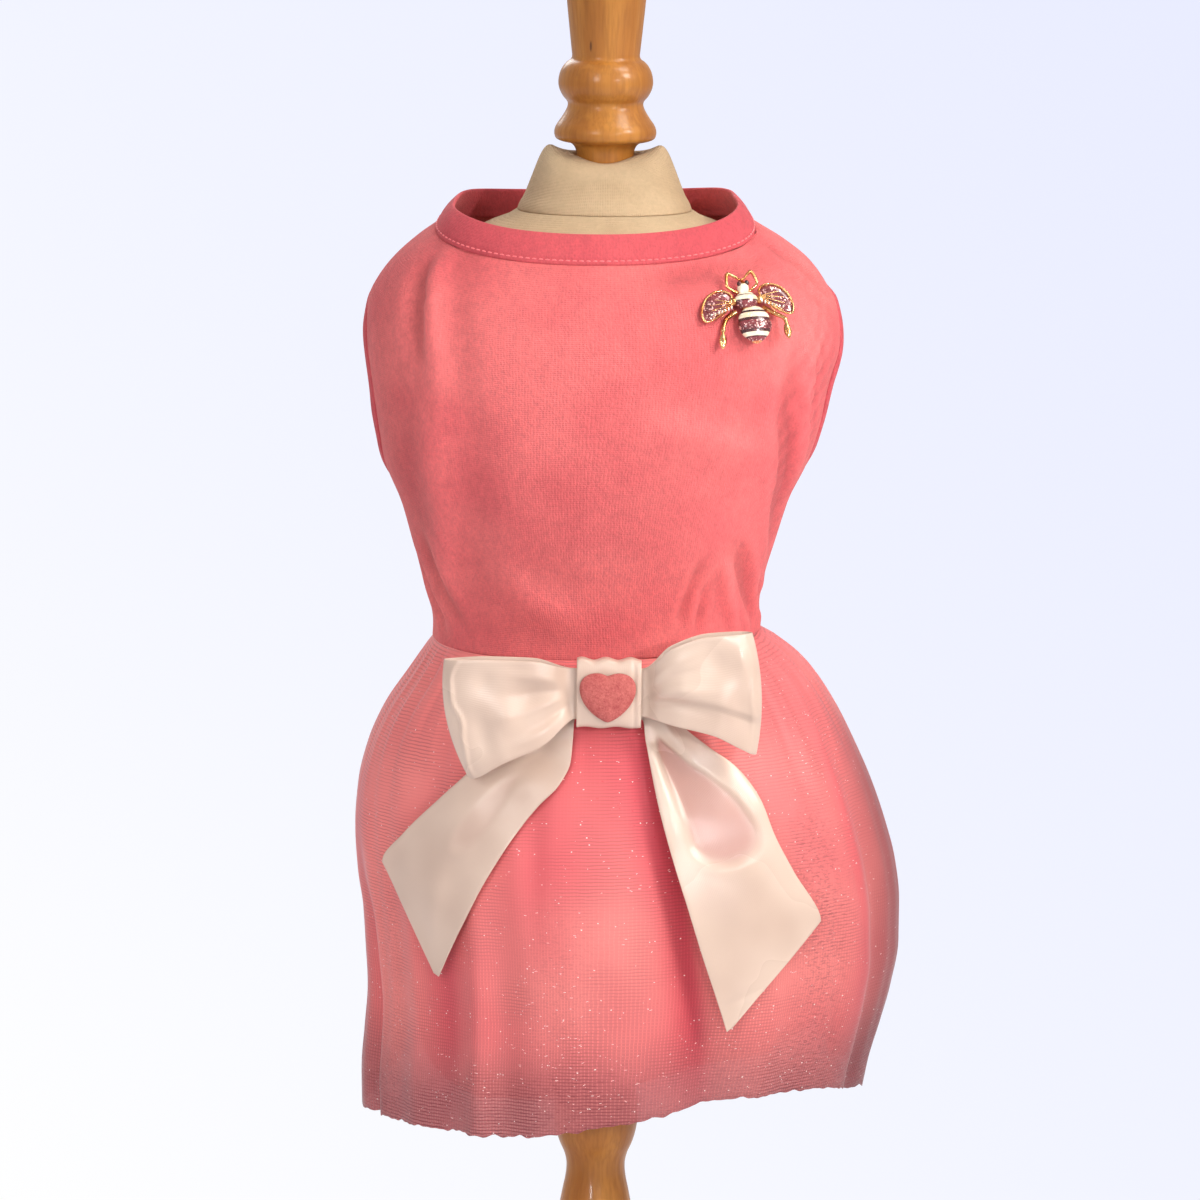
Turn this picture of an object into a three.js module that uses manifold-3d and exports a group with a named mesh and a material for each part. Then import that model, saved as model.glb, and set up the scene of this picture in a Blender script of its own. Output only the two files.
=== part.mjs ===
// A sleeveless dog dress with a gathered net skirt and a satin bow, worn by a small dress form.
// Millimetres, +Z up, the front of the dress (the dog's back) faces -Y, and +X is to the right of it.
// The origin is the middle of the base's underside. Angles round the dress are degrees from the front,
// positive towards +X.

import * as THREE from "three";
import { mergeVertices } from "three/addons/utils/BufferGeometryUtils.js";
import Module from "manifold-3d";

const wasm = await Module();
wasm.setup();

// ---------------------------------------------------------------- driving dimensions

const seamGap = 0.3;
const clothWall = 1;
const lean = 0.03; // the skirt hangs a little higher on the right: rise per mm across
const neckLean = 0.015;
const roundness = 0.9; // 1 is an ellipse, less is squarer

const waistHeight = 331;
const waistDip = 3.5; // the waist seam is lower at the front
const waistHalf = 56;
const neckHalf = 54;
const neckSide = 472.2;
const neckFront = 461;
const neckBack = 469;

const bandHeight = 10.4;
const bandWall = 2.2;
const bandInset = { front: 5, side: 6.4, back: 4.5 };

const sideSeamAngle = 103;
const armhole = { middle: 0.597, halfHeight: 0.25, halfAngle: 23, bindingHeight: 0.046, bindingAngle: 5.2 };
const bindingWall = 2;

const ventAtWaist = 140;
const ventAtHem = 125;
const gathers = 28;
const gatherDepth = 1.2;
const gatherPuff = 0.12; // share of the skirt's length over which the gathers open out
const gatherFade = 0.75; // share of their depth that they lose by the hem
const gatherDrift = 1.9; // radians from one gather to the next, of their change in depth
const columnsPerGather = 4;
const foldGrowth = 0.45; // share of the skirt's length over which a large fold reaches its depth

const ribbonKnotDepth = 64; // of the tails' layer at the knot, in front of the axis
const ribbonWall = 0.9;
const ribbonLayer = 1.9; // from one layer of ribbon in the knot to the next
const tailClearance = 2.7;
const tailHangRows = 3; // rows of a tail that hang straight from the knot
const tailFallBack = 3.2; // how much nearer the axis each later row may lie

const baseRadius = 82;
const baseHeight = 22;
const neckSeam = 476.2;
const neckTop = 495.5;

// ---------------------------------------------------------------- colours

const jerseyPink = new THREE.MeshStandardMaterial({ color: 0xe8707c, roughness: 0.9, metalness: 0 });
const netPink = new THREE.MeshStandardMaterial({ color: 0xd4727c, roughness: 0.6, metalness: 0 });
const liningPink = new THREE.MeshStandardMaterial({ color: 0xe2646f, roughness: 0.7, metalness: 0 });
const satinCream = new THREE.MeshStandardMaterial({ color: 0xefe2d6, roughness: 0.35, metalness: 0 });
const flockCoral = new THREE.MeshStandardMaterial({ color: 0xdb6f6d, roughness: 1, metalness: 0 });
const formBeige = new THREE.MeshStandardMaterial({ color: 0xd8c9a8, roughness: 0.95, metalness: 0 });
const honeyWood = new THREE.MeshStandardMaterial({ color: 0xc07a33, roughness: 0.35, metalness: 0 });
const gold = new THREE.MeshStandardMaterial({ color: 0xd9a441, roughness: 0.25, metalness: 1 });
const wingEnamel = new THREE.MeshStandardMaterial({ color: 0x8c4a4f, roughness: 0.3, metalness: 0.3 });

// ---------------------------------------------------------------- tables

// The bodice's surface, from below the waist to above the neck seam.
const bodiceSections = [
  { z: 318, middle: -0.5, half: 59.5, front: 48.5, back: 42.5 },
  { z: 326, middle: -1.2, half: 56.6, front: 46.8, back: 41.2 },
  { z: 334, middle: -1.4, half: 56.0, front: 46.6, back: 41 },
  { z: 348, middle: -2.6, half: 57.8, front: 48.6, back: 44 },
  { z: 362, middle: -2.8, half: 61.8, front: 52.8, back: 48.5 },
  { z: 376, middle: -2.9, half: 66.0, front: 56.6, back: 52.5 },
  { z: 390, middle: -2.4, half: 72.3, front: 58.6, back: 56 },
  { z: 404, middle: -1.4, half: 76.4, front: 59.4, back: 57.5 },
  { z: 418, middle: -0.7, half: 79.0, front: 59.6, back: 58 },
  { z: 432, middle: 0.1, half: 81.3, front: 58.8, back: 57.5 },
  { z: 445, middle: -0.4, half: 79.8, front: 55.6, back: 55.5 },
  { z: 452, middle: -0.8, half: 76.4, front: 52.2, back: 53.4 },
  { z: 459, middle: -0.8, half: 71.2, front: 47.4, back: 50 },
  { z: 466, middle: -1.3, half: 63, front: 41.8, back: 44.8 },
  { z: 472.5, middle: -2, half: 53, front: 35.5, back: 38.4 },
  { z: 480, middle: -1.4, half: 42, front: 29, back: 31 },
];

// The skirt's outer surface along the ridges of its folds.
const skirtSections = [
  { z: 331, left: 57.4, right: 54.6, front: 46.6, back: 41 },
  { z: 327, left: 59.6, right: 60.5, front: 48.6, back: 44 },
  { z: 319, left: 64.6, right: 70.2, front: 53.6, back: 49.5 },
  { z: 305, left: 74.2, right: 80.4, front: 61, back: 57 },
  { z: 292, left: 80, right: 87.4, front: 66.8, back: 62 },
  { z: 278, left: 83.4, right: 93.8, front: 71.5, back: 65.5 },
  { z: 264, left: 84.4, right: 98.6, front: 75, back: 68 },
  { z: 250, left: 83.6, right: 102.2, front: 78, back: 69.5 },
  { z: 236, left: 81.6, right: 103.8, front: 80, back: 70 },
  { z: 222, left: 80.6, right: 103.8, front: 81.4, back: 70 },
  { z: 207, left: 79.8, right: 101.4, front: 82.4, back: 70 },
  { z: 193, left: 80.8, right: 97.8, front: 83, back: 70 },
  { z: 179, left: 81.8, right: 94, front: 83.6, back: 70 },
  { z: 160, left: 81.4, right: 91.4, front: 84, back: 70 },
];

const netHem = [
  { angle: -125, z: 172 },
  { angle: -90, z: 164 },
  { angle: -60, z: 167 },
  { angle: -15, z: 169 },
  { angle: 0, z: 173 },
  { angle: 15, z: 178 },
  { angle: 30, z: 181.5 },
  { angle: 50, z: 181 },
  { angle: 75, z: 175 },
  { angle: 95, z: 171.5 },
  { angle: 125, z: 180 },
];

// Large folds: a ridge has a positive depth and a trough a negative one. They start at the waist (0) or
// lower down towards the hem (1).
const skirtFolds = [
  { hemAngle: -114, waistAngle: -128, width: 7, depth: -5, start: 0.1 },
  { hemAngle: -98, waistAngle: -108, width: 6, depth: -3.5, start: 0.1 },
  { hemAngle: -72, waistAngle: -80, width: 4.5, depth: -6, start: 0.35 },
  { hemAngle: -56, waistAngle: -60, width: 7, depth: -3, start: 0.1 },
  { hemAngle: -38, waistAngle: -44, width: 8, depth: -4, start: 0.05 },
  { hemAngle: -27, waistAngle: -30, width: 3, depth: 2, start: 0.4 },
  { hemAngle: -20, waistAngle: -24, width: 6, depth: -3, start: 0.3 },
  { hemAngle: 22, waistAngle: 8, width: 6.5, depth: -6, start: 0.08 },
  { hemAngle: 43, waistAngle: 34, width: 9, depth: -3, start: 0.15 },
  { hemAngle: 72, waistAngle: 66, width: 6, depth: -4.5, start: 0.1 },
  { hemAngle: 98, waistAngle: 100, width: 6, depth: -4, start: 0.1 },
  { hemAngle: 114, waistAngle: 124, width: 6, depth: -4.5, start: 0.1 },
];

// The lining's side edges: it narrows from the waist seam to an apron with round lower corners.
const liningEdges = [
  { down: 0, angle: 138 },
  { down: 0.15, angle: 116 },
  { down: 0.35, angle: 96 },
  { down: 0.6, angle: 78 },
  { down: 0.85, angle: 64 },
  { down: 1, angle: 54 },
];

// The dress form's torso, smooth and clear of the cloth.
const torsoSections = [
  { z: 222.6, half: 48, front: 34, back: 34 },
  { z: 226, half: 58, front: 43, back: 43 },
  { z: 232, half: 63.5, front: 47.5, back: 47 },
  { z: 242, half: 66, front: 49.5, back: 48.5 },
  { z: 262, half: 64.5, front: 48.5, back: 47 },
  { z: 285, half: 59, front: 45.5, back: 42.5 },
  { z: 308, half: 52.5, front: 42.5, back: 38 },
  { z: 328, half: 50.5, front: 42, back: 37 },
  { z: 348, half: 52.5, front: 45.8, back: 41.5 },
  { z: 368, half: 57.5, front: 52.6, back: 48 },
  { z: 390, half: 62.5, front: 57, back: 54 },
  { z: 412, half: 67, front: 58.4, back: 56 },
  { z: 432, half: 69.5, front: 57.6, back: 55.5 },
  { z: 445, half: 68, front: 54.4, back: 53 },
  { z: 453, half: 64.5, front: 50.4, back: 50.4 },
  { z: 460, half: 58.5, front: 44.8, back: 46 },
  { z: 466.5, half: 50, front: 39.2, back: 40.5 },
  { z: 472, half: 39, front: 32.4, back: 33.5 },
  { z: neckSeam, half: 30, front: 28, back: 28 },
];

const neckSections = [
  { z: neckSeam + seamGap, half: 29.6, front: 27.6, back: 27.6 },
  { z: 481, half: 27.4, front: 24.6, back: 25 },
  { z: 486, half: 25.6, front: 22.4, back: 23 },
  { z: 490.4, half: 23.4, front: 20, back: 21 },
  { z: 493.4, half: 20.6, front: 17.4, back: 18.4 },
  { z: 495, half: 17, front: 14.4, back: 15.4 },
  { z: neckTop, half: 13.6, front: 11.4, back: 12 },
];

// Turned profiles, radius and height.
const finialProfile = [
  [0, 495.8], [9.7, 495.8], [9.7, 498.8], [16.6, 499.8], [17.6, 502], [17.2, 504.6], [15, 507.6],
  [13, 511], [12.8, 513], [14.6, 514.8], [16, 517.6], [16.3, 520.2], [15.6, 523.6], [13.8, 526.4],
  [11.4, 527.8], [11.8, 531], [13.8, 550], [14.4, 560], [13.2, 568], [9.6, 574.4], [4.6, 577.6], [0, 578],
];
const postProfile = [
  [0, 22.3], [20, 22.3], [20, 26], [14, 31], [11.6, 42], [12, 62], [14.4, 96], [15, 108], [14, 119],
  [12, 131], [10, 140], [10.4, 145.5], [13.4, 151.5], [15, 160.5], [14.2, 167.5], [11.4, 172], [9.4, 177],
  [9, 184], [9, 222.3], [0, 222.3],
];
const baseProfile = [
  [0, 0], [78, 0], [baseRadius, 3], [baseRadius, 13], [77, 18.5], [32, baseHeight], [0, baseHeight],
];

// The bow's loops. Along a loop, reach is the share of the way from the knot to its folded end, and
// depth is how far it stands in front of the tails' layer.
const loopPath = [
  { reach: 0, depth: 3.8 },
  { reach: 0.21, depth: 3.9 },
  { reach: 0.32, depth: 7.4 },
  { reach: 0.5, depth: 10 },
  { reach: 0.72, depth: 10.4 },
  { reach: 0.88, depth: 8.8 },
  { reach: 0.97, depth: 6.6 },
  { reach: 1, depth: 4.6 },
  { reach: 0.97, depth: 2.7 },
  { reach: 0.86, depth: 1.7 },
  { reach: 0.66, depth: 1.6 },
  { reach: 0.4, depth: 1.7 },
  { reach: 0.2, depth: 1.9 },
  { reach: 0, depth: 1.9 },
];
const loopLeft = {
  inner: 1.9,
  topX: -52.3,
  bottomX: -43.8,
  bulge: -3.4,
  edges: [
    { reach: 0, top: 327.2, bottom: 311.4 },
    { reach: 0.22, top: 327.6, bottom: 311 },
    { reach: 0.45, top: 330.8, bottom: 303 },
    { reach: 0.75, top: 331.2, bottom: 296.6 },
    { reach: 1, top: 330.6, bottom: 290.8 },
  ],
};
const loopRight = {
  inner: 4.2,
  topX: 50.8,
  bottomX: 52.6,
  bulge: 2.4,
  edges: [
    { reach: 0, top: 327.2, bottom: 311.4 },
    { reach: 0.22, top: 327.6, bottom: 311 },
    { reach: 0.42, top: 335.4, bottom: 309 },
    { reach: 0.7, top: 339.8, bottom: 306 },
    { reach: 1, top: 340.6, bottom: 299.8 },
  ],
};

// The tails' two long edges, from the knot to the slanting cut.
const tailLeft = [
  { outer: [-1, 327.4], inner: [0, 310.6] },
  { outer: [-9, 325.6], inner: [-8.4, 310] },
  { outer: [-15, 320], inner: [-9, 303.6] },
  { outer: [-24, 311], inner: [-9.8, 296] },
  { outer: [-34, 301], inner: [-13.6, 288.6] },
  { outer: [-44, 291], inner: [-20.6, 281.4] },
  { outer: [-54.4, 281], inner: [-27.6, 272.6] },
  { outer: [-66, 268.6], inner: [-34.2, 262.6] },
  { outer: [-73.4, 257.6], inner: [-40.8, 251] },
  { outer: [-66.8, 244.8], inner: [-47.4, 237] },
  { outer: [-60.2, 232.2], inner: [-51, 228.6] },
  { outer: [-55.2, 222.8], inner: [-53.6, 222] },
];
const tailRight = [
  { outer: [6.4, 327.4], inner: [5.6, 310.6] },
  { outer: [15, 325.4], inner: [14.4, 310] },
  { outer: [20.6, 317.4], inner: [15.4, 304] },
  { outer: [26.6, 309], inner: [16.6, 298.2] },
  { outer: [36, 301], inner: [18.2, 290.4] },
  { outer: [46.4, 293.4], inner: [20.2, 281.6] },
  { outer: [54.2, 283.2], inner: [22.8, 272] },
  { outer: [59.6, 270.2], inner: [26.2, 260.8] },
  { outer: [66, 258.2], inner: [30, 249.2] },
  { outer: [75.4, 241], inner: [35.6, 231.4] },
  { outer: [64.8, 229], inner: [39.6, 219.6] },
  { outer: [54.4, 217.6], inner: [42.2, 211.6] },
  { outer: [45.4, 207.4], inner: [43.8, 206.4] },
];

const knot = { left: -7.6, right: 13.6, top: 330.6, bottom: 308 };
const heart = { x: 2.6, z: 318.4, width: 19.4, height: 16.8, thick: 3 };
const bee = { angle: 35.4, up: 0.868, yaw: 17, tip: 26, roll: -5 };

// ---------------------------------------------------------------- helpers

const root = new THREE.Group();
const rad = THREE.MathUtils.degToRad;
const clamp = THREE.MathUtils.clamp;
const lerp = THREE.MathUtils.lerp;

// A value of one column of a table at a place along another, by a curve without overshoot.
function tableValue(table, key, at, column) {
  const rising = table[table.length - 1][key] > table[0][key];
  const rows = rising ? table : [...table].reverse();
  const place = clamp(at, rows[0][key], rows[rows.length - 1][key]);
  let i = 0;
  while (i < rows.length - 2 && rows[i + 1][key] < place) i += 1;
  const slope = (k) => {
    if (k <= 0 || k >= rows.length - 1) return 0;
    const before = (rows[k][column] - rows[k - 1][column]) / (rows[k][key] - rows[k - 1][key]);
    const after = (rows[k + 1][column] - rows[k][column]) / (rows[k + 1][key] - rows[k][key]);
    return before * after <= 0 ? 0 : (2 * before * after) / (before + after);
  };
  const span = rows[i + 1][key] - rows[i][key];
  const t = (place - rows[i][key]) / span;
  const [a, b] = [rows[i][column], rows[i + 1][column]];
  const cubic = t * t * (3 - 2 * t);
  const startPull = t * (1 - t) * (1 - t) * slope(i) * span;
  const endPull = t * t * (t - 1) * slope(i + 1) * span;
  return lerp(a, b, cubic) + startPull + endPull;
}

const squared = (value) => Math.sign(value) * Math.abs(value) ** roundness;
const across = (angle) => squared(Math.sin(rad(angle)));
const forward = (angle) => squared(Math.cos(rad(angle)));

function signedVolume(positions, index) {
  const [a, b, c] = [new THREE.Vector3(), new THREE.Vector3(), new THREE.Vector3()];
  let total = 0;
  for (let i = 0; i < index.length; i += 3) {
    a.fromArray(positions, 3 * index[i]);
    b.fromArray(positions, 3 * index[i + 1]);
    c.fromArray(positions, 3 * index[i + 2]);
    total += a.dot(b.cross(c)) / 6;
  }
  return total;
}

// A closed geometry from shared vertices, with its faces turned outwards.
function closedGeometry(positions, index) {
  const outward = signedVolume(positions, index) > 0 ? index : [...index].reverse();
  const geometry = new THREE.BufferGeometry();
  geometry.setAttribute("position", new THREE.Float32BufferAttribute(positions, 3));
  geometry.setIndex(outward);
  return geometry;
}

// Two triangles for each cell of a grid of rows and columns of vertex numbers.
function cellFaces(rows) {
  const faces = [];
  for (let j = 0; j + 1 < rows.length; j += 1) {
    for (let i = 0; i + 1 < rows[j].length; i += 1) {
      const [a, b, c, d] = [rows[j][i], rows[j][i + 1], rows[j + 1][i + 1], rows[j + 1][i]];
      faces.push(a, b, c, a, c, d);
    }
  }
  return faces;
}

// A sheet of cloth with a wall: pointAt(i, j) gives its middle surface on a grid of columns and rows.
// A closed sheet is a ring, whose last column meets its first one.
function clothSheet({ columns, rows, pointAt, wall = clothWall, wallAt = () => 1, ring = false }) {
  const grid = [];
  for (let j = 0; j <= rows; j += 1) {
    grid.push(Array.from({ length: ring ? columns : columns + 1 }, (_, i) => pointAt(i, j)));
  }
  const width = grid[0].length;
  const at = (i, j) => {
    const column = ring ? (i + width) % width : clamp(i, 0, width - 1);
    return grid[clamp(j, 0, rows)][column];
  };
  const positions = [];
  const outer = [];
  const inner = [];
  for (let j = 0; j <= rows; j += 1) {
    outer.push([]);
    inner.push([]);
    for (let i = 0; i < width; i += 1) {
      const along = at(i + 1, j).clone().sub(at(i - 1, j));
      const up = at(i, j + 1).clone().sub(at(i, j - 1));
      const half = (wall * wallAt(i / columns, j / rows)) / 2;
      const step = along.cross(up).setLength(half);
      outer[j].push(positions.length / 3);
      positions.push(...at(i, j).clone().add(step).toArray());
      inner[j].push(positions.length / 3);
      positions.push(...at(i, j).clone().sub(step).toArray());
    }
    if (ring) {
      outer[j].push(outer[j][0]);
      inner[j].push(inner[j][0]);
    }
  }
  const edge = (a, b) => cellFaces([a, b]);
  const lastOf = (lists) => lists.map((list) => list[list.length - 1]);
  const firstOf = (lists) => lists.map((list) => list[0]);
  const index = [...cellFaces(outer), ...cellFaces([...inner].reverse())];
  index.push(...edge(inner[0], outer[0]), ...edge(outer[rows], inner[rows]));
  if (!ring) {
    index.push(...edge(firstOf(outer), firstOf(inner)), ...edge(lastOf(inner), lastOf(outer)));
  }
  return closedGeometry(positions, index);
}

// A solid body through level rings, closed by a flat cap at each end.
function ringBody(sections, segments) {
  const positions = [];
  const rings = sections.map((section) => {
    const ring = [];
    for (let i = 0; i < segments; i += 1) {
      const angle = (360 * i) / segments;
      const depth = Math.abs(angle - 180) > 90 ? section.front : section.back;
      ring.push(positions.length / 3);
      positions.push(section.half * across(angle), -depth * forward(angle), section.z);
    }
    return [...ring, ring[0]];
  });
  const index = cellFaces(rings);
  const caps = [rings[0], [...rings[rings.length - 1]].reverse()];
  const heights = [sections[0].z, sections[sections.length - 1].z];
  caps.forEach((ring, k) => {
    const centre = positions.length / 3;
    positions.push(0, 0, heights[k]);
    for (let i = 0; i < segments; i += 1) index.push(centre, ring[i + 1], ring[i]);
  });
  return closedGeometry(positions, index);
}

function turned(profile, segments) {
  const points = profile.map(([radius, height]) => new THREE.Vector2(radius, height));
  return new THREE.LatheGeometry(points, segments).rotateX(Math.PI / 2);
}

function toManifold(geometry) {
  const bare = geometry.clone();
  Object.keys(bare.attributes)
    .filter((key) => key !== "position")
    .forEach((key) => bare.deleteAttribute(key));
  const merged = mergeVertices(bare, 1e-4);
  return new wasm.Manifold(
    new wasm.Mesh({
      numProp: 3,
      vertProperties: merged.attributes.position.array,
      triVerts: new Uint32Array(merged.index.array),
    }),
  );
}

function joined(geometries) {
  const solid = geometries.map(toManifold).reduce((whole, piece) => whole.add(piece));
  const mesh = solid.getMesh();
  return closedGeometry([...mesh.vertProperties], [...mesh.triVerts]);
}

function addPiece(name, geometry, material, parent = root) {
  const mesh = new THREE.Mesh(geometry, material);
  mesh.name = name;
  parent.add(mesh);
  return mesh;
}

// ---------------------------------------------------------------- the dress's surfaces

function waistZ(angle) {
  const dip = waistDip * Math.max(0, Math.cos(rad(angle)));
  return waistHeight - dip + lean * waistHalf * Math.sin(rad(angle));
}

function neckZ(angle) {
  const ahead = Math.cos(rad(angle));
  const drop = ahead > 0 ? (neckSide - neckFront) * ahead ** 1.4 : (neckSide - neckBack) * ahead ** 2;
  return neckSide - drop + neckLean * neckHalf * Math.sin(rad(angle));
}

// up is 0 at the waist seam and 1 at the neck seam.
function bodicePoint(angle, up) {
  const z = lerp(waistZ(angle), neckZ(angle), up);
  const value = (column) => tableValue(bodiceSections, "z", z, column);
  const depth = Math.cos(rad(angle)) > 0 ? value("front") : value("back");
  return new THREE.Vector3(value("middle") + value("half") * across(angle), -depth * forward(angle), z);
}

// down is 0 at the waist seam and 1 at the net's hem.
function foldDepth(angle, down) {
  return skirtFolds.reduce((sum, fold) => {
    const centre = lerp(fold.waistAngle, fold.hemAngle, down);
    const ramp = THREE.MathUtils.smoothstep(down, fold.start, fold.start + foldGrowth);
    return sum + ramp * fold.depth * Math.exp(-(((angle - centre) / fold.width) ** 2));
  }, 0);
}

// The skirt's folded surface at a height, moved outwards by an offset.
function skirtPoint(angle, z, offset) {
  const hem = tableValue(netHem, "angle", angle, "z");
  const grow = offset + foldDepth(angle, clamp((waistZ(angle) - z) / (waistZ(angle) - hem), 0, 1));
  const level = z - lean * waistHalf * Math.sin(rad(angle));
  const value = (column) => tableValue(skirtSections, "z", level, column);
  const side = angle > 0 ? value("right") : value("left");
  const depth = Math.cos(rad(angle)) > 0 ? value("front") : value("back");
  return new THREE.Vector3((side + grow) * across(angle), -(depth + grow) * forward(angle), z);
}

// How far the smooth skirt stands in front of the axis at a place across it.
function skirtFront(x, z) {
  const side = tableValue(skirtSections, "z", z, x > 0 ? "right" : "left");
  const depth = tableValue(skirtSections, "z", z, "front");
  const share = clamp(Math.abs(x) / side, 0, 0.97) ** (1 / roundness);
  return depth * Math.sqrt(1 - share * share) ** roundness;
}

// ---------------------------------------------------------------- bodice

const armholeRows = 9;
const rowsBelow = [0, 0.07, 0.14, 0.2, 0.26, 0.31];
const rowsAbove = [0.9, 0.95, 1];
const armholeSteps = Array.from({ length: armholeRows + 1 }, (_, k) => k / armholeRows);
const bodiceRows = [
  ...rowsBelow.map((up) => ({ up, notch: 0 })),
  ...armholeSteps.map((share) => ({
    up: armhole.middle - armhole.halfHeight * Math.cos(Math.PI * share),
    notch: armhole.halfAngle * Math.sin(Math.PI * share),
  })),
  ...rowsAbove.map((up) => ({ up, notch: 0 })),
];
const seamAngle = 0.35; // half the gap of a side seam

function bodicePanel(columns, edgeAngles) {
  return clothSheet({
    columns,
    rows: bodiceRows.length - 1,
    pointAt: (i, j) => {
      const [first, last] = edgeAngles(bodiceRows[j].notch);
      return bodicePoint(lerp(first, last, i / columns), bodiceRows[j].up);
    },
  });
}

const backEdge = (notch) => sideSeamAngle - seamAngle - notch;
const bellyEdge = (notch) => sideSeamAngle + seamAngle + notch;
addPiece("bodice_back", bodicePanel(26, (notch) => [-backEdge(notch), backEdge(notch)]), jerseyPink);
addPiece("bodice_belly", bodicePanel(12, (notch) => [bellyEdge(notch), 360 - bellyEdge(notch)]), jerseyPink);

// The neckband stands on the neck seam and turns inwards.
const bandColumns = 48;
const bandRows = 3;
const bandLift = 0.75;
const neckband = clothSheet({
  columns: bandColumns,
  rows: bandRows,
  ring: true,
  wall: bandWall,
  wallAt: (_, up) => 1 - 0.35 * up ** 4,
  pointAt: (i, j) => {
    const angle = (360 * i) / bandColumns;
    const ahead = Math.cos(rad(angle));
    const endInset = ahead > 0 ? bandInset.front : bandInset.back;
    const inset = lerp(bandInset.side, endInset, ahead * ahead);
    const rise = lerp(bandLift, bandHeight, j / bandRows);
    const inward = (inset * rise) / bandHeight;
    const seam = bodicePoint(angle, 1);
    seam.x -= inward * across(angle);
    seam.y += inward * forward(angle);
    seam.z += rise;
    return seam;
  },
});
addPiece("neckband", neckband, jerseyPink);

// A folded strip round an armhole, inside the panels' cut edge.
const bindingColumns = 32;
const bindingRows = 2;
const bindingGap = 0.12; // share of the binding's width
function armholeBinding(side) {
  return clothSheet({
    columns: bindingColumns,
    rows: bindingRows,
    ring: true,
    wall: bindingWall,
    pointAt: (i, j) => {
      const turn = (2 * Math.PI * i) / bindingColumns;
      const inwards = lerp(bindingGap, 1, j / bindingRows);
      const halfAngle = armhole.halfAngle - armhole.bindingAngle * inwards;
      const halfHeight = armhole.halfHeight - armhole.bindingHeight * inwards;
      const angle = sideSeamAngle + halfAngle * Math.sin(turn);
      return bodicePoint(side * angle, armhole.middle - halfHeight * Math.cos(turn));
    },
  });
}
addPiece("armhole_binding_left", armholeBinding(-1), jerseyPink);
addPiece("armhole_binding_right", armholeBinding(1), jerseyPink);

// ---------------------------------------------------------------- skirt

const netRows = 9;
const netTop = 0.85; // below the waist seam
const netCrowding = 1.15; // above 1, the rows crowd towards the waist
const netColumns = gathers * columnsPerGather;
const net = clothSheet({
  columns: netColumns,
  rows: netRows,
  pointAt: (i, j) => {
    const down = j / netRows;
    const half = lerp(ventAtWaist, ventAtHem, down);
    const angle = lerp(-half, half, i / netColumns);
    const hem = tableValue(netHem, "angle", angle, "z");
    const z = lerp(waistZ(angle) - netTop, hem, down ** netCrowding);
    const puff = THREE.MathUtils.smoothstep(down, 0, gatherPuff) * (1 - gatherFade * down);
    const uneven = 0.75 + 0.25 * Math.sin((gatherDrift * i) / columnsPerGather);
    const gather = puff * uneven * gatherDepth * Math.sin((2 * Math.PI * i) / columnsPerGather);
    return skirtPoint(angle, z, gather);
  },
});
addPiece("skirt_net", net, netPink);

const liningColumns = 44;
const liningRows = 8;
const liningTop = 1.5;
const liningInset = 2.3; // inside the net at the waist
const liningHang = 1.6; // further inside lower down
const liningShort = 13; // above the net's hem
const liningCorner = 22; // rise of its round lower corners
const lining = clothSheet({
  columns: liningColumns,
  rows: liningRows,
  pointAt: (i, j) => {
    const down = j / liningRows;
    const across01 = (2 * i) / liningColumns - 1;
    const angle = across01 * tableValue(liningEdges, "down", down, "angle");
    const corner = liningCorner * Math.abs(across01) ** 6;
    const hem = tableValue(netHem, "angle", angle, "z") + liningShort + corner;
    const z = lerp(waistZ(angle) - liningTop, hem, down);
    const inset = liningInset + liningHang * THREE.MathUtils.smoothstep(down, 0, gatherPuff);
    return skirtPoint(angle, z, -inset);
  },
});
addPiece("skirt_lining", lining, liningPink);

// ---------------------------------------------------------------- bow

const loopRows = 5;
const knotPleats = 3;
const knotPleatDepth = 0.3;
const knotReach = 0.22; // share of a loop that the band covers
const loopKick = 1.8; // how far a loop's lower edge stands out, over the tail
function bowLoop(shape) {
  return clothSheet({
    columns: loopPath.length - 1,
    rows: loopRows,
    wall: ribbonWall,
    pointAt: (i, j) => {
      const { reach, depth } = loopPath[i];
      const up = j / loopRows;
      const top = tableValue(shape.edges, "reach", reach, "top");
      const bottom = tableValue(shape.edges, "reach", reach, "bottom");
      const end = lerp(shape.bottomX, shape.topX, up) + shape.bulge * 4 * up * (1 - up);
      const pleat = knotPleatDepth * (1 - reach) * Math.cos(Math.PI * knotPleats * up);
      const kick = loopKick * (1 - up) * Math.min(1, 2 * Math.max(0, reach - knotReach));
      return new THREE.Vector3(
        lerp(shape.inner, end, reach),
        -(ribbonKnotDepth + depth + pleat + kick),
        lerp(bottom, top, up),
      );
    },
  });
}
addPiece("bow_loop_left", bowLoop(loopLeft), satinCream);
addPiece("bow_loop_right", bowLoop(loopRight), satinCream);

const tailRows = 5;
function bowTail(edges) {
  return clothSheet({
    columns: edges.length - 1,
    rows: tailRows,
    wall: ribbonWall,
    pointAt: (i, j) => {
      const { outer, inner } = edges[i];
      const share = j / tailRows;
      const x = lerp(inner[0], outer[0], share);
      const z = lerp(inner[1], outer[1], share);
      const hanging = ribbonKnotDepth - tailFallBack * Math.max(0, i - tailHangRows);
      return new THREE.Vector3(x, -Math.max(hanging, skirtFront(x, z) + tailClearance), z);
    },
  });
}
addPiece("bow_tail_left", bowTail(tailLeft), satinCream);
addPiece("bow_tail_right", bowTail(tailRight), satinCream);

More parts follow.
